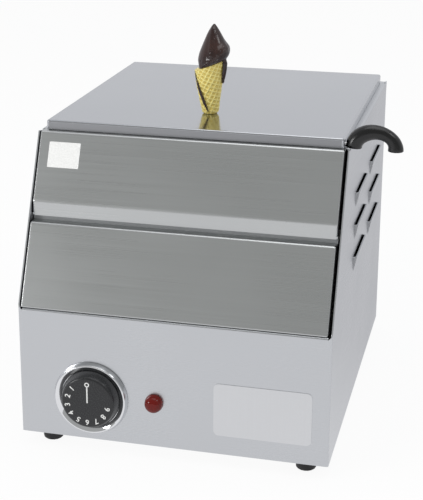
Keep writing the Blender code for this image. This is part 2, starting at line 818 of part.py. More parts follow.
# Shares of the topping's height, radius and sideways lean, and its rings' slant, from its foot to its peak
topping_shares = ((0.494, 0.675, 0.15, 0.385), (0.534, 0.942, 0.33, 0.385), (0.578, 1.015, 0.66, 0.338),
                  (0.631, 1.031, 0.88, 0.342), (0.688, 0.997, 0.90, 0.385), (0.736, 0.850, 0.69, 0.368),
                  (0.820, 0.607, 0.80, 0.2), (0.893, 0.426, 0.83, 0.07), (0.955, 0.215, 0.86, 0), (1.0, 0.03, 0.88, 0))
topping_lobes = 3
topping_lobe_share = 0.02
topping_lobe_twist = 5
topping_sides = 12
drip_radius = 4.2 * MM
drip_tip_share = 0.08
drip_steps = 5
# For each drip, its turns at its top and foot and its heights there, and its thickness, as shares
drip_shares = ((0.98, 0.98, 0.62, 0.34, 0.85), (0.22, 0.2, 0.63, 0.44, 0.8), (0.515, 0.745, 0.55, 0.03, 0.45))


def drip_tube(number, top_turn, foot_turn, top_share, foot_share, thick_share):
    """A run of chocolate down the wafer, thinning to a round end."""
    route, radii = [], []
    for step in range(drip_steps + 1):
        share = step / drip_steps
        height = topping_height * (top_share + (foot_share - top_share) * share)
        turn = top_turn + (foot_turn - top_turn) * share
        angle = math.radians(360) * turn
        out = wafer_radius(height) + wafer_fullest * min(step, 1)
        route.append((wafer_centre(height) + out * math.cos(angle), cone_y + out * math.sin(angle),
                      cone_foot + height))
        radii.append(drip_radius * thick_share * math.sqrt(max(1 - share ** 3, drip_tip_share)))
    return add_cutter(f"drip_{number}", tube_mesh(f"drip_{number}", route, radii, 2))


def wafer_clearance():
    """The room that the wafer takes up inside the chocolate, with a gap round it."""
    core = bmesh.new()
    rings = []
    for ring in range(clearance_rings + 1):
        row = []
        for step in range(wafer_around):
            angle = math.radians(360) * step / wafer_around
            across, back = math.cos(angle), math.sin(angle)
            height = wafer_mouth(wafer_mouth_radius * across) * ring / clearance_rings
            out = wafer_radius(height) + wafer_fullest
            centre = wafer_centre(height)
            if ring == clearance_rings:
                height = wafer_mouth(out * across) + seat_gap
            row.append(core.verts.new((centre + out * across, cone_y + out * back, cone_foot + height)))
        rings.append(row)
    for low, high in zip(rings, rings[1:]):
        for i in range(wafer_around):
            j = (i + 1) % wafer_around
            core.faces.new((low[i], low[j], high[j], high[i]))
    core.faces.new(list(reversed(rings[0])))
    core.faces.new(rings[-1])
    return add_cutter("wafer_clear", mesh_of(core, "wafer_clear"))


def cone_topping():
    bm = bmesh.new()
    rings = []
    for height_share, radius_share, lean_share, slant in topping_shares:
        row = []
        for step in range(topping_sides):
            angle = math.radians(360) * step / topping_sides
            lobe = 1 + topping_lobe_share * math.cos(topping_lobes * angle + topping_lobe_twist * height_share)
            across = topping_radius * radius_share * lobe * math.cos(angle)
            back = topping_radius * radius_share * lobe * math.sin(angle)
            row.append(bm.verts.new((topping_offset * lean_share + across, cone_y + back,
                                     cone_foot + topping_height * height_share + slant * across)))
        rings.append(row)
    for low, high in zip(rings, rings[1:]):
        for i in range(topping_sides):
            j = (i + 1) % topping_sides
            bm.faces.new((low[i], low[j], high[j], high[i]))
    bm.faces.new(list(reversed(rings[0])))
    bm.faces.new(rings[-1])
    topping = add_part("cone_topping", mesh_of(bm, "cone_topping", smooth=True),
                       lambda name: finish(name, (0.045, 0.02, 0.012), 0.0, 0.2), lid_axis)
    soft = topping.modifiers.new("Soft", "SUBSURF")
    soft.levels = 1
    soft.render_levels = 1
    for number, shares in enumerate(drip_shares):
        boolean(topping, drip_tube(number, *shares), "UNION")
    boolean(topping, wafer_clearance())


def cone_screw():
    head_top = lid_under - seat_gap
    profile = [(0, cone_foot + cone_screw_reach - seat_gap),
               (cone_screw_radius, cone_foot + cone_screw_reach - seat_gap),
               (cone_screw_radius, head_top), (cone_screw_head, head_top),
               (cone_screw_head, head_top - cone_screw_head_height), (0, head_top - cone_screw_head_height)]
    turned("cone_screw", profile, (cone_x, cone_y, 0), "Z", bright_steel, lid_axis, steps=12)


cone_wafer()
cone_topping()
cone_screw()

# Ladle: a bowl on a bent shank, with an arched black handle hooked over the right edge
handle_span = 19.2 * MM
handle_rise = 15 * MM
handle_tip_drop = 1.5 * MM
handle_radius = 7.3 * MM
handle_root_x = half_width + 2 * MM
handle_bore_depth = 9 * MM
handle_thickness_shares = (1.04, 1.06, 1.07, 1.06, 1.0, 0.92, 0.86, 0.85, 0.9, 0.98)
bowl_radius = 28 * MM
bowl_depth = 24 * MM
bowl_wall = 1 * MM
bowl_from_side = 66 * MM
bowl_behind_handle = 56 * MM
bowl_rim_above_floor = 30 * MM

bowl_x = half_width - bowl_from_side
bowl_y = ladle_y + bowl_behind_handle
bowl_rim = pan_top - pan_depth + bowl_rim_above_floor
handle_foot_z = case_height + seat_gap
ladle_axis = empty_at("ladle_axis", (half_width, ladle_y, handle_foot_z), machine)


def share_at(shares, t):
    """A value between neighbouring shares, t running from 0 to 1."""
    place = t * (len(shares) - 1)
    index = min(int(place), len(shares) - 2)
    return shares[index] + (shares[index + 1] - shares[index]) * (place - index)


def ladle_handle():
    steps = 20
    route, radii = [], []
    for step in range(steps + 1):
        angle = math.radians(180) * (1 - step / steps)
        route.append((handle_root_x + handle_span * (1 + math.cos(angle)), ladle_y,
                      handle_foot_z + handle_rise * math.sin(angle)))
        radii.append(handle_radius * share_at(handle_thickness_shares, step / steps))
    tip_x, _, tip_z = route[-1]
    route.append((tip_x, ladle_y, tip_z - handle_tip_drop))
    radii.append(radii[-1])
    handle = add_part("ladle_handle", tube_mesh("ladle_handle", route, radii, 4), black_plastic, ladle_axis)
    bore = bmesh.new()
    start = handle_root_x - handle_radius - cut_overrun
    add_cylinder(bore, (start, ladle_y, shank_z), shank_radius + seat_gap,
                 cut_overrun + handle_bore_depth, "X", 16)
    boolean(handle, add_cutter("handle_bore", mesh_of(bore, "handle_bore")))


shank_lead_in = 7 * MM
shank_bearing = math.radians(45)
# Shares of the shank's way in over the rim, and of its fall to the bowl
shank_shares = ((0.35, 0), (0.66, 0), (0.9, 0.1), (1.0, 0.3), (1.0, 0.65))


def ladle_shank():
    reach = (bowl_radius + seat_gap + shank_radius) * math.cos(shank_bearing)
    end_x = bowl_x + reach
    end_y = bowl_y - reach
    inner_end = handle_root_x - handle_radius + handle_bore_depth - seat_gap
    lid_side = lid_half - shank_lead_in
    run_x, run_y = end_x - lid_side, end_y - ladle_y
    high = shank_z
    low = bowl_rim - bowl_depth / 2
    drop = high - low
    knots = [(inner_end, ladle_y, high), (lid_half, ladle_y, high), (lid_side, ladle_y, high)]
    knots += [(lid_side + run_x * along, ladle_y + run_y * along, high - drop * fall)
              for along, fall in shank_shares]
    knots.append((end_x, end_y, low))
    route = smooth_route(knots, 4)
    mesh = tube_mesh("ladle_shank", route, [shank_radius] * len(route), 2)
    add_part("ladle_shank", mesh, bright_steel, ladle_axis)


def ladle_bowl():
    outer, inner = [], []
    steps = 6
    for step in range(steps + 1):
        angle = math.radians(90) * step / steps
        outer.append((bowl_radius * math.cos(angle), -bowl_depth * math.sin(angle)))
        inner.append(((bowl_radius - bowl_wall) * math.cos(angle),
                      -(bowl_depth - bowl_wall) * math.sin(angle)))
    profile = outer + list(reversed(inner))
    profile[steps] = (0, -bowl_depth)
    profile[steps + 1] = (0, -(bowl_depth - bowl_wall))
    mesh = bpy.data.meshes.new("ladle_bowl")
    links = [(i, i + 1) for i in range(len(profile) - 1) if i != steps]
    links.append((len(profile) - 1, 0))
    mesh.from_pydata([(radius, 0, height) for radius, height in profile], links, [])
    bowl = add_part("ladle_bowl", mesh, bright_steel, ladle_axis)
    bowl.location = Vector((bowl_x, bowl_y, bowl_rim)) + bowl.location
    screw = bowl.modifiers.new("Turned", "SCREW")
    screw.angle = math.radians(360)
    screw.steps = 24
    screw.render_steps = 24
    screw.use_merge_vertices = True
    screw.merge_threshold = 0.00001


ladle_handle()
ladle_shank()
ladle_bowl()

# Thermostat: knob and bezel in front, body, shaft, capillary and bulb behind
bezel_radius = 36.5 * MM
bezel_front_radius = 33.4 * MM
bezel_inner_radius = 30.8 * MM
bezel_depth = 5.5 * MM
bezel_floor = 1 * MM
knob_radius = 29.5 * MM
knob_front = 13 * MM
knob_edge = 3.2 * MM
knob_back = 2.2 * MM
knob_bore_end = 2.5 * MM
thermostat_width = 44 * MM
thermostat_depth = 34 * MM
thermostat_edge = 2 * MM
shaft_in_body = 10 * MM

knob_axis = empty_at("knob_axis", (knob_x, 0, knob_z), machine)
body_front = sheet + seat_gap


def knob_bezel():
    """A chrome dish round the knob: seen from its back at height nought to its front."""
    hole = shaft_radius + running_gap
    profile = [(bezel_front_radius, bezel_depth), (bezel_radius, seat_gap), (hole, seat_gap),
               (hole, seat_gap + bezel_floor), (bezel_inner_radius, seat_gap + bezel_floor),
               (bezel_inner_radius, bezel_depth)]
    bezel = turned("knob_bezel", profile, (knob_x, 0, knob_z), "Y", bright_steel, steps=36, closed=True)
    bezel.rotation_euler = (math.radians(90), 0, 0)


def thermostat_knob():
    arc = []
    for step in range(5):
        angle = math.radians(90) * (1 - step / 4)
        arc.append((knob_radius - knob_edge + knob_edge * math.cos(angle),
                    knob_front - knob_edge + knob_edge * math.sin(angle)))
    bore = shaft_radius + seat_gap
    profile = [(0, knob_front)] + arc + [(knob_radius, knob_back), (bore, knob_back),
                                         (bore, knob_front - knob_bore_end), (0, knob_front - knob_bore_end)]
    knob = turned("thermostat_knob", profile, (knob_x, 0, knob_z), "Y", black_plastic, knob_axis, steps=36)
    knob.rotation_euler = (math.radians(90), 0, 0)


def thermostat_shaft():
    bm = bmesh.new()
    front = knob_bore_end + seat_gap - knob_front
    back = body_front + shaft_in_body - seat_gap
    add_cylinder(bm, (knob_x, front, knob_z), shaft_radius, back - front, "Y", 20)
    add_part("thermostat_shaft", mesh_of(bm, "thermostat_shaft", smooth=True), bright_steel, knob_axis)


def thermostat_body():
    half = thermostat_width / 2
    bm = bmesh.new()
    add_box(bm, (knob_x - half, body_front, knob_z - half),
            (knob_x + half, body_front + thermostat_depth, knob_z + half))
    body = add_part("thermostat_body", mesh_of(bm, "thermostat_body"), black_plastic)
    soften(body, thermostat_edge)
    drill(body, "shaft_bore", [(knob_x, body_front, knob_z)], shaft_radius + seat_gap,
          2 * shaft_in_body, "Y", 20)


capillary_radius = 1 * MM
bulb_radius = 3.2 * MM
bulb_length = 80 * MM
bulb_from_side = 90 * MM
bulb_from_well_front = 43 * MM
clip_width = 14 * MM
clip_foot = 8 * MM

bulb_x = bulb_from_side - half_width
bulb_y = well_front + bulb_from_well_front


def thermostat_bulb():
    """The capillary from the back of the thermostat to its bulb, under the well's floor."""
    start = body_front + thermostat_depth + seat_gap
    bulb_z = well_floor - well_wall - seat_gap - bulb_radius
    rise = bulb_z - knob_z
    knots = [(knob_x, start, knob_z), (knob_x, start + clip_width, knob_z + clip_foot),
             (knob_x, start + 2 * clip_width, knob_z + rise * 0.5),
             (bulb_x, bulb_y - 2 * clip_width, bulb_z - clip_foot), (bulb_x, bulb_y - clip_foot, bulb_z)]
    route = smooth_route(knots, 6)
    radii = [capillary_radius] * len(route)
    for y, radius in ((bulb_y, bulb_radius), (bulb_y + bulb_length, bulb_radius)):
        route.append(Vector((bulb_x, y, bulb_z)))
        radii.append(radius)
    add_part("thermostat_bulb", tube_mesh("thermostat_bulb", route, radii, 1), bright_steel)


def bulb_clip():
    """A strap welded under the well, which holds the bulb against it."""
    top = well_floor - well_wall - seat_gap
    reach = bulb_radius + seat_gap + sheet
    low = top - 2 * bulb_radius - seat_gap - sheet
    front = bulb_y + (bulb_length - clip_width) / 2
    profile = [(-reach - clip_foot, top - sheet), (-reach, top - sheet), (-reach, low), (reach, low),
               (reach, top - sheet), (reach + clip_foot, top - sheet)]
    outline = [(bulb_x + x, z) for x, z in profile]
    thick = [(bulb_x + reach + clip_foot, top), (bulb_x + reach - sheet, top),
             (bulb_x + reach - sheet, low + sheet), (bulb_x - reach + sheet, low + sheet),
             (bulb_x - reach + sheet, top), (bulb_x - reach - clip_foot, top)]
    ring = [(x, front, z) for x, z in outline + thick]
    add_part("bulb_clip", prism_mesh("bulb_clip", ring, (0, clip_width, 0)), bright_steel)


knob_bezel()
thermostat_knob()
thermostat_shaft()
thermostat_body()
thermostat_bulb()
bulb_clip()

# Pilot lamp: red lens, body through the front, and nut behind
lens_radius = 8.8 * MM
lens_height = 9.5 * MM
lens_collar = 2 * MM
lamp_body_length = 24 * MM
lamp_nut_radius = 9 * MM
lamp_nut_height = 4 * MM


def pilot_lamp():
    dome = [(0, lens_height)]
    steps = 6
    for step in range(1, steps + 1):
        angle = math.radians(90) * step / steps
        dome.append((lens_radius * math.sin(angle),
                     lens_collar + (lens_height - lens_collar) * math.cos(angle)))
    profile = dome + [(lens_radius, seat_gap), (0, seat_gap)]
    lens = turned("pilot_lamp_lens", profile, (lamp_x, 0, lamp_z), "Y",
                  lambda name: finish(name, (0.25, 0.01, 0.01), 0.0, 0.15), steps=24)
    lens.rotation_euler = (math.radians(90), 0, 0)
    bm = bmesh.new()
    add_cylinder(bm, (lamp_x, 0, lamp_z), lamp_body_radius, lamp_body_length, "Y", 20)
    add_part("pilot_lamp_body", mesh_of(bm, "pilot_lamp_body", smooth=True), black_plastic)
    nut = bmesh.new()
    add_cylinder(nut, (lamp_x, body_front, lamp_z), lamp_nut_radius, lamp_nut_height, "Y", 6)
    piece = add_part("pilot_lamp_nut", mesh_of(nut, "pilot_lamp_nut"), bright_steel)
    drill(piece, "lamp_nut_bore", [(lamp_x, body_front, lamp_z)], lamp_body_radius + seat_gap,
          3 * lamp_nut_height, "Y", 20)


pilot_lamp()

# Heating element: one tube in hairpins on two rests, its ends down through the well's floor
element_end_margin = 51 * MM
element_stub = 18 * MM
rest_height = 4 * MM
rest_width = 10 * MM
rest_from_end = 25 * MM
rest_overhang = 12 * MM
element_end_x = well_half_x - element_end_margin
rest_x = element_end_x - rest_from_end
element_z = well_floor + seat_gap + rest_height + seat_gap + element_radius


def heating_element():
    turn_radius = element_leg_pitch / 2
    down_radius = element_z - well_floor
    route = [(element_hole_x, element_first_y, well_floor - element_stub)]
    for step in range(5):
        angle = math.radians(90) * step / 4
        route.append((element_hole_x + down_radius * (1 - math.cos(angle)), element_first_y,
                      element_z - down_radius * (1 - math.sin(angle))))
    for leg in range(element_legs - 1):
        side = 1 if leg % 2 == 0 else -1
        end_x = element_end_x if side > 0 else -element_end_x
        centre = element_first_y + element_leg_pitch * (leg + 0.5)
        for step in range(9):
            angle = math.radians(180) * step / 8
            route.append((end_x + side * turn_radius * math.sin(angle),
                          centre - turn_radius * math.cos(angle), element_z))
    for step in range(4, -1, -1):
        angle = math.radians(90) * step / 4
        route.append((element_hole_x + down_radius * (1 - math.cos(angle)), element_last_y,
                      element_z - down_radius * (1 - math.sin(angle))))
    route.append((element_hole_x, element_last_y, well_floor - element_stub))
    mesh = tube_mesh("heating_element", route, [element_radius] * len(route), 2)
    add_part("heating_element", mesh, lambda name: finish(name, (0.2, 0.19, 0.18), 0.9, 0.5))


def element_rests():
    low_y = element_first_y - rest_overhang
    high_y = element_last_y + rest_overhang
    floor = well_floor + seat_gap
    for name, x in (("left", -rest_x), ("right", rest_x)):
        bm = bmesh.new()
        add_box(bm, (x - rest_width / 2, low_y, floor), (x + rest_width / 2, high_y, floor + rest_height))
        rest = add_part("element_rest_" + name, mesh_of(bm, "element_rest"), bright_steel)
        channel = bmesh.new()
        add_box(channel, (x - rest_width / 2 + sheet, low_y - cut_overrun, floor - cut_overrun),
                (x + rest_width / 2 - sheet, high_y + cut_overrun, floor + rest_height - sheet))
        boolean(rest, add_cutter(f"rest_{name}_channel", mesh_of(channel, "rest_channel")))


heating_element()
element_rests()

# Mains side: terminal block on the base, and the cord's bushing in the back panel
block_width = 46 * MM
block_depth = 20 * MM
block_height = 17 * MM
block_edge = 1 * MM
block_from_back = 50 * MM
block_poles = 3
block_hole_radius = 3 * MM
block_hole_depth = 5 * MM
bushing_flange = 9.5 * MM
bushing_out = 7 * MM
bushing_lip = 3 * MM
bushing_inner_collar = 8.2 * MM
bushing_bore = 3.8 * MM

block_y = case_depth - block_from_back


def terminal_block():
    bm = bmesh.new()
    floor = sheet + seat_gap
    add_box(bm, (bushing_x - block_width / 2, block_y - block_depth / 2, floor),
            (bushing_x + block_width / 2, block_y + block_depth / 2, floor + block_height))
    block = add_part("terminal_block", mesh_of(bm, "terminal_block"),
                     lambda name: finish(name, (0.8, 0.78, 0.72), 0.0, 0.5))
    soften(block, block_edge, 1)
    pitch = block_width / (block_poles + 1)
    places = [(bushing_x + pitch * (pole - (block_poles - 1) / 2), block_y, floor + block_height)
              for pole in range(block_poles)]
    drill(block, "terminal_holes", places, block_hole_radius, 2 * block_hole_depth, "Z", 16)


def cord_bushing():
    """A snap-in bushing: outer flange, neck in the panel's hole, and inner collar."""
    inner_face = -sheet - seat_gap
    profile = [(bushing_bore, bushing_out), (bushing_neck, bushing_out), (bushing_flange, bushing_lip),
               (bushing_flange, seat_gap), (bushing_neck, seat_gap), (bushing_neck, inner_face),
               (bushing_inner_collar, inner_face), (bushing_neck, inner_face - bushing_out),
               (bushing_bore, inner_face - bushing_out)]
    turned("cord_bushing", profile, (bushing_x, back_face, bushing_z), "Y", black_plastic, steps=16,
           closed=True)


terminal_block()
cord_bushing()


def stand_on_origin():
    """Puts the middle of the machine's footprint on the origin, at the feet's soles."""
    bpy.context.view_layer.update()
    graph = bpy.context.evaluated_depsgraph_get()
    corners = []
    for piece in parts.objects:
        if piece.type == "MESH":
            solid = piece.evaluated_get(graph)
            corners += [solid.matrix_world @ point.co for point in solid.data.vertices]
    low = [min(corner[i] for corner in corners) for i in range(3)]
    high = [max(corner[i] for corner in corners) for i in range(3)]
    machine.location = (-(low[0] + high[0]) / 2, -(low[1] + high[1]) / 2, -low[2])
    bpy.context.view_layer.update()


stand_on_origin()
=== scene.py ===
import math

import bmesh
import bpy
from mathutils import Matrix, Vector
from mathutils.bvhtree import BVHTree


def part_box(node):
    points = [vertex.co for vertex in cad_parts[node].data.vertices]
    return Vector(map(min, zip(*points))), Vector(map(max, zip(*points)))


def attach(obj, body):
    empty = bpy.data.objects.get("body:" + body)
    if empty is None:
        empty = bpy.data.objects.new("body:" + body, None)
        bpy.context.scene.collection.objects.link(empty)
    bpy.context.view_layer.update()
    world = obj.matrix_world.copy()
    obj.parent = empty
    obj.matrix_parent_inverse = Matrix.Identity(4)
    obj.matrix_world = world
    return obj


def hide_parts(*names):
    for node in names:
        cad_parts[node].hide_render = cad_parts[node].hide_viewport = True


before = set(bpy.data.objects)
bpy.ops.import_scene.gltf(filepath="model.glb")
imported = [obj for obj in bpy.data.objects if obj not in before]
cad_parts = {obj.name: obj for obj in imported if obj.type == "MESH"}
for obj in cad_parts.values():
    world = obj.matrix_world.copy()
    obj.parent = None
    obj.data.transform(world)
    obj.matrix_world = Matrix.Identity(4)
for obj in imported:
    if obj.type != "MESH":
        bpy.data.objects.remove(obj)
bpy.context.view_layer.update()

# Studio: a plain white sweep under soft lamps, seen by a camera a little above and to the right of the
# machine. The camera stands where the photograph's did, worked out from the corners of the case.
scene = bpy.context.scene
scene.view_settings.view_transform = "Standard"

focal_length, film_width, shift_right, shift_up, farthest_seen = 95.30, 36, 0.036, -0.12, 20
camera_data = bpy.data.cameras.new("camera")
camera_data.lens = focal_length
camera_data.sensor_width = film_width
camera_data.shift_x = shift_right
camera_data.shift_y = shift_up
camera_data.clip_end = farthest_seen
camera = bpy.data.objects.new("camera", camera_data)
scene.collection.objects.link(camera)
camera_place = (0.27425, -1.27783, 0.61349)
camera_yaw, camera_pitch, camera_roll = (math.radians(turn) for turn in (14.137, 16.893, 0.113))
camera.matrix_world = (Matrix.Translation(camera_place) @ Matrix.Rotation(camera_yaw, 4, "Z")
                       @ Matrix.Rotation(math.radians(90) - camera_pitch, 4, "X")
                       @ Matrix.Rotation(camera_roll, 4, "Z"))
scene.camera = camera


def linear(code):
    """An sRGB hex colour as the linear values that Blender's shaders take."""
    parts = [int(code[i:i + 2], 16) / 255 for i in (0, 2, 4)]
    return [part / 12.92 if part <= 0.04045 else ((part + 0.055) / 1.055) ** 2.4 for part in parts] + [1]


def add_node(tree, kind, inputs=None, **settings):
    """One node with its settings, its sockets' values, and the sockets that feed it."""
    made = tree.nodes.new(kind)
    for name, value in settings.items():
        setattr(made, name, value)
    for name, value in (inputs or {}).items():
        socket = made.inputs[name]
        if isinstance(value, bpy.types.NodeSocket):
            tree.links.new(value, socket)
        else:
            socket.default_value = value
    return made


floor_reach = 6
floor_mesh = bpy.data.meshes.new("floor")
floor_bm = bmesh.new()
bmesh.ops.create_grid(floor_bm, x_segments=1, y_segments=1, size=floor_reach)
floor_bm.to_mesh(floor_mesh)
floor_bm.free()
floor = bpy.data.objects.new("floor", floor_mesh)
scene.collection.objects.link(floor)

# White paper: to the camera nearly pure white with the machine's shadow, and to polished metal a little
# greyer behind the machine than before it. The shares say how much of its own light each kind of ray sees.
camera_share, mirror_share, lens_share = 0.93, 0.85, 0.9
paper = bpy.data.materials.new("white_paper_sweep")
paper.use_nodes = True
tree = paper.node_tree
tree.nodes.clear()
seen = add_node(tree, "ShaderNodeLightPath")
place = add_node(tree, "ShaderNodeTexCoord")
split = add_node(tree, "ShaderNodeSeparateXYZ", {"Vector": place.outputs["Object"]})
depth = add_node(tree, "ShaderNodeMapRange", {"Value": split.outputs["Y"], "From Min": -0.25, "From Max": 0.3,
                                              "To Min": 0.0, "To Max": 1.0}, interpolation_type="SMOOTHSTEP")
glow_tone = add_node(tree, "ShaderNodeMix", {"Factor": depth.outputs["Result"], 6: linear("FAFAFC"),
                                             7: linear("DADADD")}, data_type="RGBA")
matt = add_node(tree, "ShaderNodeBsdfDiffuse", {"Color": linear("E6E6E6")})
white = add_node(tree, "ShaderNodeEmission", {"Color": linear("FFFFFF"), "Strength": 1.0})
glow = add_node(tree, "ShaderNodeEmission", {"Color": glow_tone.outputs[2], "Strength": 1.0})
direct = add_node(tree, "ShaderNodeMath", {0: seen.outputs["Is Camera Ray"], 1: camera_share},
                  operation="MULTIPLY")
mirrored = add_node(tree, "ShaderNodeMath", {0: seen.outputs["Is Glossy Ray"], 1: mirror_share},
                    operation="MULTIPLY")
through = add_node(tree, "ShaderNodeMath", {0: seen.outputs["Is Transmission Ray"], 1: lens_share},
                   operation="MULTIPLY")
inward = add_node(tree, "ShaderNodeMath", {0: mirrored.outputs[0], 1: through.outputs[0]},
                  operation="MAXIMUM")
lit = add_node(tree, "ShaderNodeMixShader",
               {"Fac": inward.outputs[0], 1: matt.outputs["BSDF"], 2: glow.outputs["Emission"]})
mixed = add_node(tree, "ShaderNodeMixShader",
                 {"Fac": direct.outputs[0], 1: lit.outputs["Shader"], 2: white.outputs["Emission"]})
add_node(tree, "ShaderNodeOutputMaterial", {"Surface": mixed.outputs["Shader"]})
floor_mesh.materials.append(paper)

# The room round the machine: white behind and at the sides, greyer in front, as a studio is past its lamps.
world = bpy.data.worlds.new("studio")
scene.world = world
world.use_nodes = True
tree = world.node_tree
tree.nodes.clear()
place = add_node(tree, "ShaderNodeTexCoord")
split = add_node(tree, "ShaderNodeSeparateXYZ", {"Vector": place.outputs["Generated"]})
front = add_node(tree, "ShaderNodeMapRange", {"Value": split.outputs["Y"], "From Min": 0.1, "From Max": -0.6,
                                              "To Min": 0.0, "To Max": 1.0}, interpolation_type="SMOOTHSTEP")
room = add_node(tree, "ShaderNodeMix", {"Factor": front.outputs["Result"], 6: linear("E2E3E6"),
                                        7: linear("AEAFAE")}, data_type="RGBA")
seen = add_node(tree, "ShaderNodeLightPath")
sight = add_node(tree, "ShaderNodeMix", {"Factor": seen.outputs["Is Camera Ray"], 6: room.outputs[2],
                                         7: linear("FFFFFF")}, data_type="RGBA")
backdrop = add_node(tree, "ShaderNodeBackground", {"Color": sight.outputs[2], "Strength": 1.0})
add_node(tree, "ShaderNodeOutputWorld", {"Surface": backdrop.outputs["Background"]})

# A wide softbox at the left lights the machine evenly and stays out of the metal's reflections. The one
# above draws the bright lines on the folds, and two small ones give the gloss its highlights from both
# sides.
softboxes = (("key_softbox", (-1.2, -1.4, 1.9), 1.4, 17, False),
             ("top_softbox", (0.2, -0.1, 2.2), 1.5, 9, True),
             ("highlight_softbox", (1.7, -0.5, 2.1), 0.6, 5, True),
             ("side_softbox", (-1.5, -1.45, 0.55), 0.5, 8, True))
lamp_target = Vector((0, 0, 0.2))
for name, spot, size, power, mirrored_in_metal in softboxes:
    lamp = bpy.data.lights.new(name, "AREA")
    lamp.shape = "SQUARE"
    lamp.size = size
    lamp.energy = power
    holder = bpy.data.objects.new(name, lamp)
    holder.location = spot
    holder.rotation_euler = (lamp_target - Vector(spot)).to_track_quat("-Z", "Y").to_euler()
    holder.visible_glossy = mirrored_in_metal
    scene.collection.objects.link(holder)


def finish_piece(piece, body, slot, *node_names):
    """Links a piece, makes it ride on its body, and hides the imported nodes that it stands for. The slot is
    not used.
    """
    scene.collection.objects.link(piece)
    if node_names:
        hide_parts(*node_names)
    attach(piece, body)
    return piece


def joined_copy(node_name):
    """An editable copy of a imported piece, with the vertices that its faces share joined up."""
    bm = bmesh.new()
    bm.from_mesh(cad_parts[node_name].data)
    bmesh.ops.remove_doubles(bm, verts=bm.verts, dist=0.00001)
    return bm


def packed_copy(node_name, look, body="case", slot="brushed_sheet", sharp=40, fold_radius=0.0):
    """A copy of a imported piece, softly shaded, with its long outer folds rounded where a radius is given."""
    bm = joined_copy(node_name)
    if fold_radius:
        shortest_fold, narrowest_flat, least_turn = 0.06, 0.0035, math.radians(20)
        bmesh.ops.dissolve_limit(bm, angle_limit=math.radians(0.5), verts=bm.verts, edges=bm.edges)
        folds = []
        for edge in bm.edges:
            if len(edge.link_faces) != 2 or not edge.is_convex or edge.calc_length() < shortest_fold:
                continue
            widths = [face.calc_area() / max(side.calc_length() for side in face.edges)
                      for face in edge.link_faces]
            if edge.calc_face_angle() > least_turn and min(widths) > narrowest_flat:
                folds.append(edge)
        bmesh.ops.bevel(bm, geom=folds, offset=fold_radius, offset_type="OFFSET", segments=4,
                        profile=0.5, affect="EDGES", clamp_overlap=True)
    mesh = bpy.data.meshes.new("dressed_" + node_name)
    bm.to_mesh(mesh)
    bm.free()
    mesh.shade_smooth()
    mesh.set_sharp_from_angle(angle=math.radians(sharp))
    mesh.materials.append(look)
    piece = bpy.data.objects.new("dressed_" + node_name, mesh)
    weights = piece.modifiers.new("Flat faces stay flat", "WEIGHTED_NORMAL")
    weights.keep_sharp = True
    weights.weight = 90
    return finish_piece(piece, body, slot, node_name)


def ground_stainless(name, grain, tint="C9CBCE", roughness=0.3):
    """Belt-ground stainless: grain scratches along one direction, with soft wide differences in the polish.

    The real grain is about 0.1 mm wide. It is drawn about 0.5 mm wide, so that it shows close by.
    """
    steel = bpy.data.materials.new(name)
    steel.use_nodes = True
    tree = steel.node_tree
    shader = tree.nodes["Principled BSDF"]
    place = add_node(tree, "ShaderNodeTexCoord")
    along = add_node(tree, "ShaderNodeMapping", {"Vector": place.outputs["Object"], "Scale": grain})
    scratches = add_node(tree, "ShaderNodeTexNoise", {"Vector": along.outputs["Vector"], "Scale": 1.0,
                                                      "Detail": 4.0, "Roughness": 0.6})
    clouds = add_node(tree, "ShaderNodeTexNoise", {"Vector": place.outputs["Object"], "Scale": 9.0,
                                                   "Detail": 2.0})
    polish = add_node(tree, "ShaderNodeMapRange", {"Value": scratches.outputs["Fac"], "From Min": 0.3,
                                                   "From Max": 0.7, "To Min": roughness - 0.04,
                                                   "To Max": roughness + 0.05})
    wide = add_node(tree, "ShaderNodeMapRange", {"Value": clouds.outputs["Fac"], "From Min": 0.35,
                                                 "From Max": 0.65, "To Min": -0.02, "To Max": 0.02})
    rough = add_node(tree, "ShaderNodeMath", {0: polish.outputs["Result"], 1: wide.outputs["Result"]},
                     operation="ADD")
    tone = add_node(tree, "ShaderNodeMapRange", {"Value": scratches.outputs["Fac"], "From Min": 0.25,
                                                 "From Max": 0.75, "To Min": 0.96, "To Max": 1.0})
    shade = add_node(tree, "ShaderNodeMix", {"Factor": 1.0, 6: linear(tint), 7: tone.outputs["Result"]},
                     data_type="RGBA", blend_type="MULTIPLY")
    ridges = add_node(tree, "ShaderNodeBump", {"Strength": 0.08, "Distance": 0.00005,
                                               "Height": scratches.outputs["Fac"]})
    shader.inputs["Metallic"].default_value = 1.0
    tree.links.new(shade.outputs[2], shader.inputs["Base Color"])
    tree.links.new(rough.outputs[0], shader.inputs["Roughness"])
    tree.links.new(ridges.outputs["Normal"], shader.inputs["Normal"])
    return steel


# Case wrap: 1.2 mm stainless sheet, ground with a fine belt so that its grain runs level round the case.
# The sides and the lower front are one folded piece, and the louvres are pressed into the sides.
level_grain = ground_stainless("stainless_ground_level", (6, 6, 1800))
packed_copy("side_wrap", level_grain, fold_radius=0.0012)

# Slanted front: two folded panels of the same sheet, seated between the sides with a shadow gap.
# The upper one ends in a bright vertical lip, which hangs in front of the lower one's top edge.
# Their left ends reach out by the wall gap, so that only a thin shadow is left beside the case's side.
slope_grain = ground_stainless("stainless_ground_across", (6, 1800, 1800), tint="C4C6C6")
wall_gap, cheek_depth = 0.0024, 0.005
for panel_name in ("lower_front_panel", "upper_front_panel"):
    panel = packed_copy(panel_name, slope_grain, fold_radius=0.0014)
    left_end = min(vert.co.x for vert in panel.data.vertices)
    for vert in panel.data.vertices:
        if vert.co.x < left_end + cheek_depth:
            vert.co.x -= wall_gap
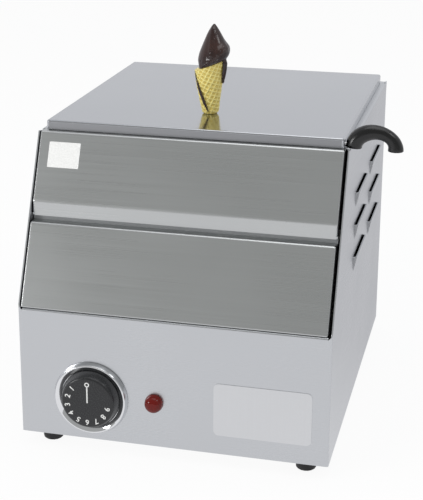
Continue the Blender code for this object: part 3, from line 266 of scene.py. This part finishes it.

# Hem: the lip's bottom edge is folded under into a rounded bead, which catches the light all along. Its steel
# is tinted paler than the panels', a painted highlight along the bead.
hem_radius, hem_end_gap = 0.0013, 0.0001
panel_low, panel_high = (Vector(corner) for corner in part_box("upper_front_panel"))
panel_low.x -= wall_gap
hem_bm = bmesh.new()
bmesh.ops.create_cone(hem_bm, cap_ends=True, segments=24, radius1=hem_radius, radius2=hem_radius,
                      depth=panel_high.x - panel_low.x - 2 * hem_end_gap)
panel_middle = (panel_low.x + panel_high.x) / 2
hem_place = Matrix.Translation((panel_middle, panel_low.y + hem_radius, panel_low.z + hem_radius))
bmesh.ops.transform(hem_bm, matrix=hem_place @ Matrix.Rotation(math.radians(90), 4, "Y"), verts=hem_bm.verts)
hem_mesh = bpy.data.meshes.new("lip_hem")
hem_bm.to_mesh(hem_mesh)
hem_bm.free()
hem_mesh.shade_smooth()
hem_mesh.set_sharp_from_angle(angle=math.radians(40))
# The pale tint is a painted highlight on the bead, not a different steel.
hem_mesh.materials.append(ground_stainless("stainless_hem_painted_highlight", (6, 1800, 1800), tint="E6E7EA",
                                           roughness=0.35))
finish_piece(bpy.data.objects.new("lip_hem", hem_mesh), "case", "brushed_sheet")

# Recess strip: a flat strip behind the lip, which closes the slot between the two panels.
# Its dull, half-metallic grey is painted shade, the tone of the shaded recess under the lip.
# A dull grey with little metal: painted shade for the recess under the lip.
recess_shade_look = ground_stainless("painted_recess_shade", (40, 40, 40), tint="A9ABAD", roughness=0.55)
recess_shade_look.node_tree.nodes["Principled BSDF"].inputs["Metallic"].default_value = 0.35
strip_back, strip_thickness, strip_drop, strip_reach = 0.003, 0.0008, 0.012, 0.004
strip_bm = bmesh.new()
strip_part = bmesh.ops.create_cube(strip_bm, size=1.0)
bmesh.ops.scale(strip_bm, vec=(panel_high.x - panel_low.x, strip_thickness, strip_drop + strip_reach),
                verts=strip_part["verts"])
bmesh.ops.translate(strip_bm, vec=(panel_middle, panel_low.y + strip_back,
                                   panel_low.z + (strip_reach - strip_drop) / 2), verts=strip_part["verts"])
strip_mesh = bpy.data.meshes.new("recess_shade_strip")
strip_bm.to_mesh(strip_mesh)
strip_bm.free()
strip_mesh.materials.append(recess_shade_look)
finish_piece(bpy.data.objects.new("recess_shade_strip", strip_mesh), "case", "brushed_sheet")

# Deck, base tray and back panel: plain sheet inside and behind the case.
for plate_name in ("top_deck", "base_tray", "back_panel"):
    packed_copy(plate_name, slope_grain if plate_name == "top_deck" else level_grain, fold_radius=0.0012)


def drawn_steel(name, tint="D2D3D5", roughness=0.2):
    """Deep-drawn or plated metal: smoother than the ground sheet, with faint cloudy drawing marks."""
    steel = bpy.data.materials.new(name)
    steel.use_nodes = True
    tree = steel.node_tree
    shader = tree.nodes["Principled BSDF"]
    place = add_node(tree, "ShaderNodeTexCoord")
    clouds = add_node(tree, "ShaderNodeTexNoise", {"Vector": place.outputs["Object"], "Scale": 60.0,
                                                   "Detail": 3.0})
    rough = add_node(tree, "ShaderNodeMapRange", {"Value": clouds.outputs["Fac"], "From Min": 0.35,
                                                  "From Max": 0.65, "To Min": roughness * 0.8,
                                                  "To Max": roughness * 1.2})
    shade = add_node(tree, "ShaderNodeMapRange", {"Value": clouds.outputs["Fac"], "From Min": 0.35,
                                                  "From Max": 0.65, "To Min": 0.95, "To Max": 1.0})
    tone = add_node(tree, "ShaderNodeMix", {"Factor": 1.0, 6: linear(tint), 7: shade.outputs["Result"]},
                    data_type="RGBA", blend_type="MULTIPLY")
    shader.inputs["Metallic"].default_value = 1.0
    tree.links.new(tone.outputs[2], shader.inputs["Base Color"])
    tree.links.new(rough.outputs["Result"], shader.inputs["Roughness"])
    return steel


# Heated well and chocolate pan: drawn tubs of smooth stainless, one hanging in the other.
tub_steel = drawn_steel("stainless_drawn")
for tub_name in ("heated_well", "chocolate_pan"):
    packed_copy(tub_name, tub_steel, slot="drawn_steel")

# Back screws: six pan heads with crossed recesses, in bright plated steel, through the back panel's edge.
plated = drawn_steel("bright_plated_steel", tint="CFD0D2", roughness=0.18)
screw_names = sorted(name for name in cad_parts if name.startswith("back_screw"))
screw_boxes = [tuple(Vector(corner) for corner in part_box(name)) for name in screw_names]
head_radius = (screw_boxes[0][1].x - screw_boxes[0][0].x) / 2
head_height = 0.0016
screw_length = screw_boxes[0][1].y - screw_boxes[0][0].y
screw_tree = bpy.data.node_groups.new("crossed_pan_heads", "GeometryNodeTree")
screw_tree.interface.new_socket("Geometry", in_out="INPUT", socket_type="NodeSocketGeometry")
screw_sizes = {}
screw_shape = (("Head radius", head_radius), ("Head height", head_height),
               ("Shank radius", head_radius * 0.5), ("Shank length", screw_length - head_height),
               ("Recess width", head_radius * 0.26), ("Recess depth", head_height * 0.9))
for label, size in screw_shape:
    socket = screw_tree.interface.new_socket(label, in_out="INPUT", socket_type="NodeSocketFloat")
    screw_sizes[socket.identifier] = size
screw_tree.interface.new_socket("Geometry", in_out="OUTPUT", socket_type="NodeSocketGeometry")
given = add_node(screw_tree, "NodeGroupInput")
half_head = add_node(screw_tree, "ShaderNodeMath",
                     {0: given.outputs["Head height"], 1: -0.5}, operation="MULTIPLY")
half_shank = add_node(screw_tree, "ShaderNodeMath",
                      {0: given.outputs["Shank length"], 1: -0.5}, operation="MULTIPLY")
shank_middle = add_node(screw_tree, "ShaderNodeMath",
                        {0: half_shank.outputs[0], 1: given.outputs["Head height"]}, operation="SUBTRACT")
recess_length = add_node(screw_tree, "ShaderNodeMath",
                         {0: given.outputs["Head radius"], 1: 1.3}, operation="MULTIPLY")
head_spot = add_node(screw_tree, "ShaderNodeCombineXYZ", {"Z": half_head.outputs[0]})
shank_spot = add_node(screw_tree, "ShaderNodeCombineXYZ", {"Z": shank_middle.outputs[0]})
head = add_node(screw_tree, "GeometryNodeMeshCylinder", {"Vertices": 40,
                                                         "Radius": given.outputs["Head radius"],
                                                         "Depth": given.outputs["Head height"]})
head_moved = add_node(screw_tree, "GeometryNodeTransform",
                      {"Geometry": head.outputs["Mesh"], "Translation": head_spot.outputs[0]})
recess_bars = []
for long_side in ("X", "Y"):
    bar_size = add_node(screw_tree, "ShaderNodeCombineXYZ", {
        "X": recess_length.outputs[0] if long_side == "X" else given.outputs["Recess width"],
        "Y": recess_length.outputs[0] if long_side == "Y" else given.outputs["Recess width"],
        "Z": given.outputs["Recess depth"]})
    bar = add_node(screw_tree, "GeometryNodeMeshCube", {"Size": bar_size.outputs[0]})
    recess_bars.append(bar.outputs["Mesh"])
recessed = add_node(screw_tree, "GeometryNodeMeshBoolean", {"Mesh 1": head_moved.outputs["Geometry"]},
                    operation="DIFFERENCE")
for bar_mesh in recess_bars:
    screw_tree.links.new(bar_mesh, recessed.inputs["Mesh 2"])
shank = add_node(screw_tree, "GeometryNodeMeshCylinder", {"Vertices": 24,
                                                          "Radius": given.outputs["Shank radius"],
                                                          "Depth": given.outputs["Shank length"]})
shank_moved = add_node(screw_tree, "GeometryNodeTransform",
                       {"Geometry": shank.outputs["Mesh"], "Translation": shank_spot.outputs[0]})
screw = add_node(screw_tree, "GeometryNodeJoinGeometry")
screw_tree.links.new(recessed.outputs["Mesh"], screw.inputs["Geometry"])
screw_tree.links.new(shank_moved.outputs["Geometry"], screw.inputs["Geometry"])
screw_turned = add_node(screw_tree, "GeometryNodeTransform", {"Geometry": screw.outputs["Geometry"],
                                                              "Rotation": (math.radians(-90), 0, 0)})
screws_set = add_node(screw_tree, "GeometryNodeInstanceOnPoints",
                      {"Points": given.outputs["Geometry"], "Instance": screw_turned.outputs["Geometry"]})
screws_real = add_node(screw_tree, "GeometryNodeRealizeInstances",
                       {"Geometry": screws_set.outputs["Instances"]})
screws_dressed = add_node(screw_tree, "GeometryNodeSetMaterial",
                          {"Geometry": screws_real.outputs["Geometry"], "Material": plated})
add_node(screw_tree, "NodeGroupOutput", {"Geometry": screws_dressed.outputs["Geometry"]})


def grown_mesh(name, points, group, sizes):
    """The plain mesh that a node tree grows on some points."""
    seeds = bpy.data.meshes.new(name + "_seeds")
    seeds.from_pydata(points, [], [])
    grower = bpy.data.objects.new(name + "_grower", seeds)
    scene.collection.objects.link(grower)
    modifier = grower.modifiers.new(name, "NODES")
    modifier.node_group = group
    for identifier, size in sizes.items():
        modifier[identifier] = size
    grown = bpy.data.meshes.new_from_object(grower.evaluated_get(bpy.context.evaluated_depsgraph_get()))
    bpy.data.objects.remove(grower)
    grown.name = name
    return grown


screw_points = [((low.x + high.x) / 2, high.y, (low.z + high.z) / 2) for low, high in screw_boxes]
back_screws = bpy.data.objects.new("back_screws", grown_mesh("back_screws", screw_points, screw_tree,
                                                             screw_sizes))
finish_piece(back_screws, "case", "small_hardware", *screw_names)

# Hinges, clips and rests: bright plated steel.
case_hardware = [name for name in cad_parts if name.startswith(("foot_screw", "element_rest"))]
case_hardware += ["hinge_left_body_leaf", "hinge_right_body_leaf", "hinge_left_pin", "hinge_right_pin",
                  "bulb_clip", "thermostat_bulb", "pilot_lamp_nut"]
for node_name in case_hardware:
    packed_copy(node_name, plated, slot="small_hardware")
for node_name in ("hinge_left_lid_leaf", "hinge_right_lid_leaf", "cone_screw"):
    packed_copy(node_name, plated, "lid", "small_hardware")


def plain_moulding(name, code, roughness, grit=0.0):
    """Moulded plastic or rubber, with a fine grit from its mould and a slightly uneven gloss."""
    plastic = bpy.data.materials.new(name)
    plastic.use_nodes = True
    tree = plastic.node_tree
    shader = tree.nodes["Principled BSDF"]
    place = add_node(tree, "ShaderNodeTexCoord")
    grains = add_node(tree, "ShaderNodeTexNoise", {"Vector": place.outputs["Object"], "Scale": 900.0,
                                                   "Detail": 2.0})
    rough = add_node(tree, "ShaderNodeMapRange", {"Value": grains.outputs["Fac"], "From Min": 0.3,
                                                  "From Max": 0.7, "To Min": roughness - 0.05,
                                                  "To Max": roughness + 0.05})
    shade = add_node(tree, "ShaderNodeMapRange", {"Value": grains.outputs["Fac"], "From Min": 0.3,
                                                  "From Max": 0.7, "To Min": 0.88, "To Max": 1.0})
    tone = add_node(tree, "ShaderNodeMix", {"Factor": 1.0, 6: linear(code), 7: shade.outputs["Result"]},
                    data_type="RGBA", blend_type="MULTIPLY")
    bumps = add_node(tree, "ShaderNodeBump", {"Strength": grit, "Distance": 0.0002,
                                              "Height": grains.outputs["Fac"]})
    tree.links.new(tone.outputs[2], shader.inputs["Base Color"])
    tree.links.new(rough.outputs["Result"], shader.inputs["Roughness"])
    tree.links.new(bumps.outputs["Normal"], shader.inputs["Normal"])
    return plastic


# Rubber feet: dull black moulded rubber, round and slightly tapered.
rubber = plain_moulding("black_rubber", "1B1B1C", 0.6, 0.2)
for node_name in ("foot_front_left", "foot_front_right", "foot_rear_left", "foot_rear_right"):
    packed_copy(node_name, rubber, slot="foot_rubber")

# Lid: a shallow folded cover of the same ground sheet, with a notch in its right skirt for the ladle.
# The front of its skirt is rougher than the polished top, and its darker tint is painted shade on the faces
# that look forward.
lid_grain = ground_stainless("stainless_lid", (1800, 6, 1800), tint="BFC1C5", roughness=0.16)
lid = packed_copy("lid_shell", lid_grain, "lid", fold_radius=0.0016)
lid.data.materials.append(ground_stainless("stainless_lid_front_painted_shade", (6, 1800, 1800), tint="9C9DA0",
                                           roughness=0.4))
# Forward-facing faces take the darker tint: painted shade.
front_facing = -0.97
for face in lid.data.polygons:
    if face.normal.y < front_facing:
        face.material_index = 1

# Lid handle, lower half: a cone moulded after a rolled wafer, golden, with square waffle cells 3.8 mm wide
# that run over it as on the flat sheet it seems rolled from. Its ridges are paler than its pits.
cell_width, ridge_rise, ridge_slant, wafer_swell = 0.0038, 0.0005, math.radians(24), 0.0004
wafer_low, wafer_high = (Vector(corner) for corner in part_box("cone_wafer"))
wafer_height = wafer_high.z - wafer_low.z
wafer_bm = joined_copy("cone_wafer")
longest_edge, most_faces, most_rounds = 0.0007, 90000, 6
for _ in range(most_rounds):
    long_edges = [edge for edge in wafer_bm.edges if edge.calc_length() > longest_edge]
    if not long_edges or len(wafer_bm.faces) > most_faces:
        break
    bmesh.ops.subdivide_edges(wafer_bm, edges=long_edges, cuts=1)
    bmesh.ops.triangulate(wafer_bm, faces=[face for face in wafer_bm.faces if len(face.verts) > 3])
wafer_bm.normal_update()


def middle_of(points):
    """The mean of some points."""
    return sum(points, Vector()) / len(points)


foot_top, mouth_bottom = wafer_low.z + 0.1 * wafer_height, wafer_low.z + 0.75 * wafer_height
foot_middle = middle_of([vert.co for vert in wafer_bm.verts if vert.co.z < foot_top])
mouth_middle = middle_of([vert.co for vert in wafer_bm.verts if vert.co.z > mouth_bottom])
wafer_axis = (mouth_middle - foot_middle).normalized()
foot_radius, mouth_radius, plain_foot, least_facing = 0.0058, 0.0134, 0.001, 0.4
ridge_start, ridge_run = 0.55, 0.3
half_angle = math.atan((mouth_radius - foot_radius) / wafer_height)
apex_distance = foot_radius / math.sin(half_angle)
ridge_heights = []
for vert in wafer_bm.verts:
    along = (vert.co - foot_middle).dot(wafer_axis)
    outward = vert.co - foot_middle - along * wafer_axis
    turn = math.atan2(outward.x, -outward.y)
    slant = apex_distance + (vert.co.z - wafer_low.z) / math.cos(half_angle)
    flat_turn = turn * math.sin(half_angle)
    flat_x, flat_y = slant * math.sin(flat_turn), slant * math.cos(flat_turn)
    across = flat_x * math.cos(ridge_slant) - flat_y * math.sin(ridge_slant)
    up = flat_x * math.sin(ridge_slant) + flat_y * math.cos(ridge_slant)
    edge_share = max(abs(way / cell_width % 1 - 0.5) * 2 for way in (across, up))
    ridge = min(max((edge_share - ridge_start) / ridge_run, 0), 1)
    ridge = ridge * ridge * (3 - 2 * ridge)
    facing = vert.normal.dot(outward.normalized()) if outward.length > 0 else 0
    ridge_heights.append(ridge)
    if facing > least_facing and vert.co.z > wafer_low.z + plain_foot:
        vert.co += outward.normalized() * (ridge * ridge_rise + wafer_swell)
wafer_mesh = bpy.data.meshes.new("waffle_cone")
wafer_bm.to_mesh(wafer_mesh)
wafer_bm.free()
wafer_mesh.shade_smooth()
wafer_mesh.set_sharp_from_angle(angle=math.radians(60))
ridge_layer = wafer_mesh.attributes.new("ridge", "FLOAT", "POINT")
ridge_layer.data.foreach_set("value", ridge_heights)
wafer_look = bpy.data.materials.new("moulded_wafer_plastic")
wafer_look.use_nodes = True
tree = wafer_look.node_tree
shader = tree.nodes["Principled BSDF"]
ridge_read = add_node(tree, "ShaderNodeAttribute", attribute_name="ridge")
place = add_node(tree, "ShaderNodeTexCoord")
toast = add_node(tree, "ShaderNodeTexNoise", {"Vector": place.outputs["Object"], "Scale": 120.0,
                                              "Detail": 3.0})
toast_mix = add_node(tree, "ShaderNodeMapRange", {"Value": toast.outputs["Fac"], "From Min": 0.35,
                                                  "From Max": 0.65, "To Min": 0.0, "To Max": 0.35})
golden = add_node(tree, "ShaderNodeMix", {"Factor": toast_mix.outputs["Result"], 6: linear("F7EA96"),
                                          7: linear("EBD277")}, data_type="RGBA")
cells = add_node(tree, "ShaderNodeMix", {"Factor": ridge_read.outputs["Fac"], 6: linear("DEC667"),
                                         7: golden.outputs[2]}, data_type="RGBA")
tree.links.new(cells.outputs[2], shader.inputs["Base Color"])
shader.inputs["Roughness"].default_value = 0.42
wafer_mesh.materials.append(wafer_look)
finish_piece(bpy.data.objects.new("waffle_cone", wafer_mesh), "lid", "wafer_plastic", "cone_wafer")

# Lid handle, upper half: a glossy chocolate peak moulded in dark plastic, slumped over one side in drips.
# Soft folds run over it, as poured chocolate sets. It is one skin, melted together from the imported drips,
# and the bead that runs down the wafer's seam is drawn in close to the wafer.
chocolate = bpy.data.materials.new("glossy_chocolate_plastic")
chocolate.use_nodes = True
tree = chocolate.node_tree
shader = tree.nodes["Principled BSDF"]
place = add_node(tree, "ShaderNodeTexCoord")
swirl = add_node(tree, "ShaderNodeTexNoise", {"Vector": place.outputs["Object"], "Scale": 70.0,
                                              "Detail": 3.0})
swirl_mix = add_node(tree, "ShaderNodeMapRange", {"Value": swirl.outputs["Fac"], "From Min": 0.35,
                                                  "From Max": 0.65, "To Min": 0.0, "To Max": 1.0})
brown = add_node(tree, "ShaderNodeMix", {"Factor": swirl_mix.outputs["Result"], 6: linear("241210"),
                                         7: linear("341D17")}, data_type="RGBA")
waves = add_node(tree, "ShaderNodeBump", {"Strength": 0.06, "Distance": 0.0006,
                                          "Height": swirl.outputs["Fac"]})
tree.links.new(brown.outputs[2], shader.inputs["Base Color"])
tree.links.new(waves.outputs["Normal"], shader.inputs["Normal"])
shader.inputs["Roughness"].default_value = 0.18
shader.inputs["Specular IOR Level"].default_value = 0.55

skin_step, melt_rounds, settle_rounds = 0.0006, 3, 4
topping_bm = joined_copy("cone_topping")
topping_source = bpy.data.meshes.new("topping_source")
topping_bm.to_mesh(topping_source)
topping_bm.free()
shaper = bpy.data.objects.new("topping_shaper", topping_source)
scene.collection.objects.link(shaper)
voxels = shaper.modifiers.new("One soft skin", "REMESH")
voxels.mode = "VOXEL"
voxels.voxel_size = skin_step
melt = shaper.modifiers.new("Melted edges", "SMOOTH")
melt.factor = 0.5
melt.iterations = melt_rounds
topping_mesh = bpy.data.meshes.new_from_object(shaper.evaluated_get(bpy.context.evaluated_depsgraph_get()))
bpy.data.objects.remove(shaper)
topping_mesh.name = "chocolate_peak"
fold_width, fold_rise, drip_swell = 0.0019, 0.0020, 0.0006
rim_share, bead_stand, rim_stand = 0.745, 0.0046, -0.0002
mouth_foot = wafer_low.z + 0.62 * wafer_height
chocolate_folds = [((0.0036, 0.0826), (0.0037, 0.0593)), ((0.0174, 0.0712), (0.0053, 0.0564)),
                   ((0.0182, 0.0653), (-0.0008, 0.05))]
seam_top, seam_side, least_front = 0.97, -0.5, -0.2
for vert in topping_mesh.vertices:
    if vert.co.z < mouth_foot:
        vert.co += vert.normal * drip_swell
    along = (vert.co - foot_middle).dot(wafer_axis)
    outward = vert.co - foot_middle - along * wafer_axis
    stand = bead_stand if along < rim_share * wafer_height else rim_stand
    bead_reach = foot_radius + (mouth_radius - foot_radius) * along / wafer_height + stand
    by_the_seam = along < seam_top * wafer_height and outward.x < seam_side * outward.length
    if by_the_seam and outward.length > bead_reach:
        vert.co -= outward.normalized() * (outward.length - bead_reach)
    if vert.normal.y > least_front:
        continue
    spot = Vector((vert.co.x - foot_middle.x, vert.co.z - wafer_low.z))
    lift = 0
    for start, end in chocolate_folds:
        start, run = Vector(start), Vector(end) - Vector(start)
        share = min(max((spot - start).dot(run) / run.length_squared, 0), 1)
        gap = (spot - start - share * run).length
        lift = max(lift, math.exp(-(gap / fold_width) ** 2))
    vert.co += vert.normal * fold_rise * lift
settled_bm = bmesh.new()
settled_bm.from_mesh(topping_mesh)
for _ in range(settle_rounds):
    bmesh.ops.smooth_vert(settled_bm, verts=settled_bm.verts, factor=0.5,
                          use_axis_x=True, use_axis_y=True, use_axis_z=True)
settled_bm.to_mesh(topping_mesh)
settled_bm.free()
topping_mesh.shade_smooth()
topping_mesh.materials.clear()
topping_mesh.materials.append(chocolate)
finish_piece(bpy.data.objects.new("chocolate_peak", topping_mesh), "lid", "chocolate_plastic", "cone_topping")

# Ladle: a black moulded handle hooked over the edge, with a bent steel shank and a spun bowl under the lid.
handle_black = plain_moulding("black_handle_plastic", "0B0B0C", 0.24, 0.15)
packed_copy("ladle_handle", handle_black, "ladle", "black_plastic", 50)
for node_name in ("ladle_shank", "ladle_bowl"):
    packed_copy(node_name, tub_steel, "ladle", "drawn_steel", 50)


def turned(name, profile, centre, look, segments=128):
    """A mesh turned round a level axis that points forwards, from points of radius and distance along it."""
    bm = bmesh.new()
    rings = []
    for radius, along_axis in profile:
        rings.append([bm.verts.new((centre[0] + radius * math.cos(math.tau * i / segments), along_axis,
                                    centre[1] + radius * math.sin(math.tau * i / segments)))
                      for i in range(segments)])
    for ring, following in zip(rings, rings[1:] + rings[:1]):
        for i in range(segments):
            after = (i + 1) % segments
            bm.faces.new((ring[i], ring[after], following[after], following[i]))
    bmesh.ops.remove_doubles(bm, verts=bm.verts, dist=0.000001)
    bmesh.ops.recalc_face_normals(bm, faces=bm.faces)
    mesh = bpy.data.meshes.new(name)
    bm.to_mesh(mesh)
    bm.free()
    mesh.shade_smooth()
    mesh.set_sharp_from_angle(angle=math.radians(35))
    mesh.materials.append(look)
    return mesh


def arc(centre_radius, centre_along, size, first, last, steps=8):
    """Points of a quarter-round edge in a turned piece's profile."""
    turns = [math.radians(first + (last - first) * i / steps) for i in range(steps + 1)]
    return [(centre_radius + size * math.cos(turn), centre_along - size * math.sin(turn)) for turn in turns]


# Thermostat's trim: a turned and chromed ring, wide at its back, which the knob sits in.
chrome = drawn_steel("chrome_plate", tint="E2E3E5", roughness=0.06)
knob_low, knob_high = (Vector(corner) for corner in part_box("thermostat_knob"))
ring_low, ring_high = (Vector(corner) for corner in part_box("knob_bezel"))
knob_centre = ((knob_low.x + knob_high.x) / 2, (knob_low.z + knob_high.z) / 2)
knob_radius = (knob_high.x - knob_low.x) / 2 - 0.0009
ring_radius = (ring_high.x - ring_low.x) / 2
ring_inner = knob_radius + 0.0005
ring_profile = [(0.006, ring_high.y), (ring_radius, ring_high.y), (ring_radius, ring_high.y - 0.0012)]
ring_profile += arc(ring_radius - 0.0027, ring_low.y + 0.0012, 0.0012, 10, 90)
ring_profile += [(ring_radius - 0.0036, ring_low.y + 0.0003), (ring_inner, ring_high.y - 0.0026),
                 (ring_inner, ring_high.y - 0.001), (0.006, ring_high.y - 0.001)]
finish_piece(bpy.data.objects.new("chrome_ring", turned("chrome_ring", ring_profile, knob_centre, chrome)),
             "case", "chrome_trim", "knob_bezel")

# Knob: moulded black plastic, round, with a soft front edge. Its numbers and pointer are printed white.
knob_black = plain_moulding("black_knob_plastic", "232426", 0.26)
face_radius = 0.0256
face_front = knob_low.y + 0.0002
edge_round = 0.003
print_back = face_front - 0.00005
print_middle = face_front - 0.00009
knob_profile = [(0, knob_high.y), (knob_radius, knob_high.y), (knob_radius, knob_high.y - 0.0015)]
knob_profile += arc(face_radius - edge_round + 0.0006, face_front + edge_round, edge_round, 12, 90)
knob_profile += [(face_radius * 0.6, face_front - 0.00003), (0, print_back)]
finish_piece(bpy.data.objects.new("knob_body", turned("knob_body", knob_profile, knob_centre, knob_black)),
             "knob", "black_plastic", "thermostat_knob")

print_white = plain_moulding("white_dial_print", "F2F2F0", 0.45)
numeral_radius, numeral_size, numeral_weight, print_depth = 0.0198, 0.0074, 0.00014, 0.00008
first_turn, turn_step = 138.0, 26.25
marks_bm = bmesh.new()
for number in range(1, 10):
    turn = math.radians(first_turn + turn_step * (number - 1))
    words = bpy.data.curves.new("dial_number", "FONT")
    words.body = str(number)
    words.size = numeral_size
    words.align_x, words.align_y = "CENTER", "CENTER"
    words.extrude = print_depth / 2
    words.offset = numeral_weight
    writer = bpy.data.objects.new("dial_number", words)
    numeral = bpy.data.meshes.new_from_object(writer)
    numeral_place = Matrix.Translation((knob_centre[0] + numeral_radius * math.cos(turn), print_middle,
                                        knob_centre[1] + numeral_radius * math.sin(turn)))
    numeral.transform(numeral_place @ Matrix.Rotation(math.radians(90), 4, "X")
                      @ Matrix.Rotation(turn - math.radians(90), 4, "Z"))
    marks_bm.from_mesh(numeral)
    bpy.data.objects.remove(writer)
pointer_length, pointer_width, eye_outer, eye_inner = 0.0165, 0.0013, 0.0024, 0.0013
bar = bmesh.ops.create_cube(marks_bm, size=1.0)
bmesh.ops.scale(marks_bm, vec=(pointer_width, print_depth, pointer_length), verts=bar["verts"])
bmesh.ops.translate(marks_bm, vec=(knob_centre[0], print_middle, knob_centre[1] + pointer_length / 2),
                    verts=bar["verts"])
marks_mesh = bpy.data.meshes.new("dial_print")
eye_profile = [(eye_inner, print_back), (eye_outer, print_back),
               (eye_outer, print_back - print_depth), (eye_inner, print_back - print_depth)]
eye = turned("pointer_eye", eye_profile, (knob_centre[0], knob_centre[1] + pointer_length + eye_outer * 0.9),
             print_white, 40)
marks_bm.from_mesh(eye)
marks_bm.to_mesh(marks_mesh)
marks_bm.free()
marks_mesh.materials.append(print_white)
finish_piece(bpy.data.objects.new("dial_print", marks_mesh), "knob", "black_plastic")

packed_copy("thermostat_shaft", plated, "knob", "small_hardware", 30)
packed_copy("thermostat_body", knob_black, "case", "black_plastic", 30)

# Pilot lamp: a moulded red dome with a low rim, clipped over a small lamp body.
red = bpy.data.materials.new("clear_red_lens")
red.use_nodes = True
tree = red.node_tree
shader = tree.nodes["Principled BSDF"]
place = add_node(tree, "ShaderNodeTexCoord")
depth_noise = add_node(tree, "ShaderNodeTexNoise", {"Vector": place.outputs["Object"], "Scale": 60.0,
                                                    "Detail": 1.0})
deep = add_node(tree, "ShaderNodeMix", {"Factor": depth_noise.outputs["Fac"], 6: linear("5A0B07"),
                                        7: linear("7A160C")}, data_type="RGBA")
tree.links.new(deep.outputs[2], shader.inputs["Base Color"])
shader.inputs["Roughness"].default_value = 0.06
shader.inputs["Specular IOR Level"].default_value = 0.3
lens_low, lens_high = (Vector(corner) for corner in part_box("pilot_lamp_lens"))
lens_centre = ((lens_low.x + lens_high.x) / 2, (lens_low.z + lens_high.z) / 2)
lens_radius = (lens_high.x - lens_low.x) / 2
rim_depth, dome_steps = 0.0018, 14
dome_radius = lens_radius - 0.0003
dome_rise = lens_high.y - lens_low.y - rim_depth
lens_profile = [(0, lens_high.y), (lens_radius, lens_high.y), (lens_radius, lens_high.y - 0.0013),
                (lens_radius - 0.0005, lens_high.y - rim_depth)]
for i in range(dome_steps + 1):
    turn = math.radians(90 * i / dome_steps)
    lens_profile.append((dome_radius * math.cos(turn) ** 0.8,
                         lens_high.y - rim_depth - dome_rise * math.sin(turn) ** 0.9))
finish_piece(bpy.data.objects.new("lamp_dome", turned("lamp_dome", lens_profile, lens_centre, red, 72)),
             "case", "red_lens", "pilot_lamp_lens")
packed_copy("pilot_lamp_body", knob_black, slot="black_plastic")


def stuck_plate(name, spot, along, up, width, height, corner, thickness, look):
    """A thin plate with round corners, its middle at a spot and its sides along two directions."""
    bm = bmesh.new()
    outward = along.cross(up).normalized()
    outline = []
    for side, (sx, sy) in enumerate(((1, 1), (-1, 1), (-1, -1), (1, -1))):
        for i in range(7):
            turn = math.radians(90 * side + 15 * i)
            outline.append((sx * (width / 2 - corner) + corner * math.cos(turn),
                            sy * (height / 2 - corner) + corner * math.sin(turn)))
    rings = [[bm.verts.new(spot + along * x + up * y + outward * lift) for x, y in outline]
             for lift in (0, thickness)]
    bm.faces.new(reversed(rings[0]))
    bm.faces.new(rings[1])
    for i in range(len(outline)):
        after = (i + 1) % len(outline)
        bm.faces.new((rings[0][i], rings[0][after], rings[1][after], rings[1][i]))
    bmesh.ops.recalc_face_normals(bm, faces=bm.faces)
    mesh = bpy.data.meshes.new(name)
    bm.to_mesh(mesh)
    bm.free()
    mesh.materials.append(look)
    return finish_piece(bpy.data.objects.new(name, mesh), "case", "brushed_sheet")


# Rating plate and sticker: a bare silver foil plate by the lower right, and a bare white paper sticker at
# the upper left, both stuck flat on the sheet. The slanted panel rises by the slope's share as it goes
# back.
foil = ground_stainless("silver_foil_plate", (400, 400, 6), tint="DADBDD", roughness=0.42)
case_low = Vector(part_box("side_wrap")[0])
glue, rightward, upward = 0.00005, Vector((1, 0, 0)), Vector((0, 0, 1))
plate_width, plate_height, plate_corner, plate_thickness = 0.0926, 0.0527, 0.005, 0.0004
stuck_plate("rating_plate", Vector((0.0652, case_low.y - glue, 0.05965)), rightward, upward,
            plate_width, plate_height, plate_corner, plate_thickness, foil)
sticker_paper = plain_moulding("white_sticker_paper", "F4F4F2", 0.55, 0.1)
slope_up = Vector((0, 0.4094, 0.9124))
panel_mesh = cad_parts["upper_front_panel"].data
panel_skin = BVHTree.FromPolygons([vert.co for vert in panel_mesh.vertices],
                                  [face.vertices for face in panel_mesh.polygons])
slope_foot, sticker_way_up, sticker_way_in, stand_off = 0.128, 0.1486, 0.0265, 0.1
aim = Vector((panel_low.x + sticker_way_in, case_low.y - stand_off,
              case_low.z + slope_foot + sticker_way_up * slope_up.z))
found, face_out, _, _ = panel_skin.ray_cast(aim, Vector((0, 1, 0)))
sticker_width, sticker_height, sticker_corner, sticker_thickness = 0.0313, 0.0248, 0.0006, 0.00012
stuck_plate("paper_sticker", found + face_out * glue, rightward, slope_up,
            sticker_width, sticker_height, sticker_corner, sticker_thickness, sticker_paper)

# Mains side: sheathed element, terminal block and bushing.
sheath = drawn_steel("dull_element_sheath", tint="6A6866", roughness=0.45)
ivory = plain_moulding("ivory_terminal_plastic", "DCD8CC", 0.45)
for node_name, slot_name, look in (("heating_element", "element_sheath", sheath),
                                   ("terminal_block", "ivory_plastic", ivory),
                                   ("cord_bushing", "black_plastic", knob_black)):
    packed_copy(node_name, look, slot=slot_name)
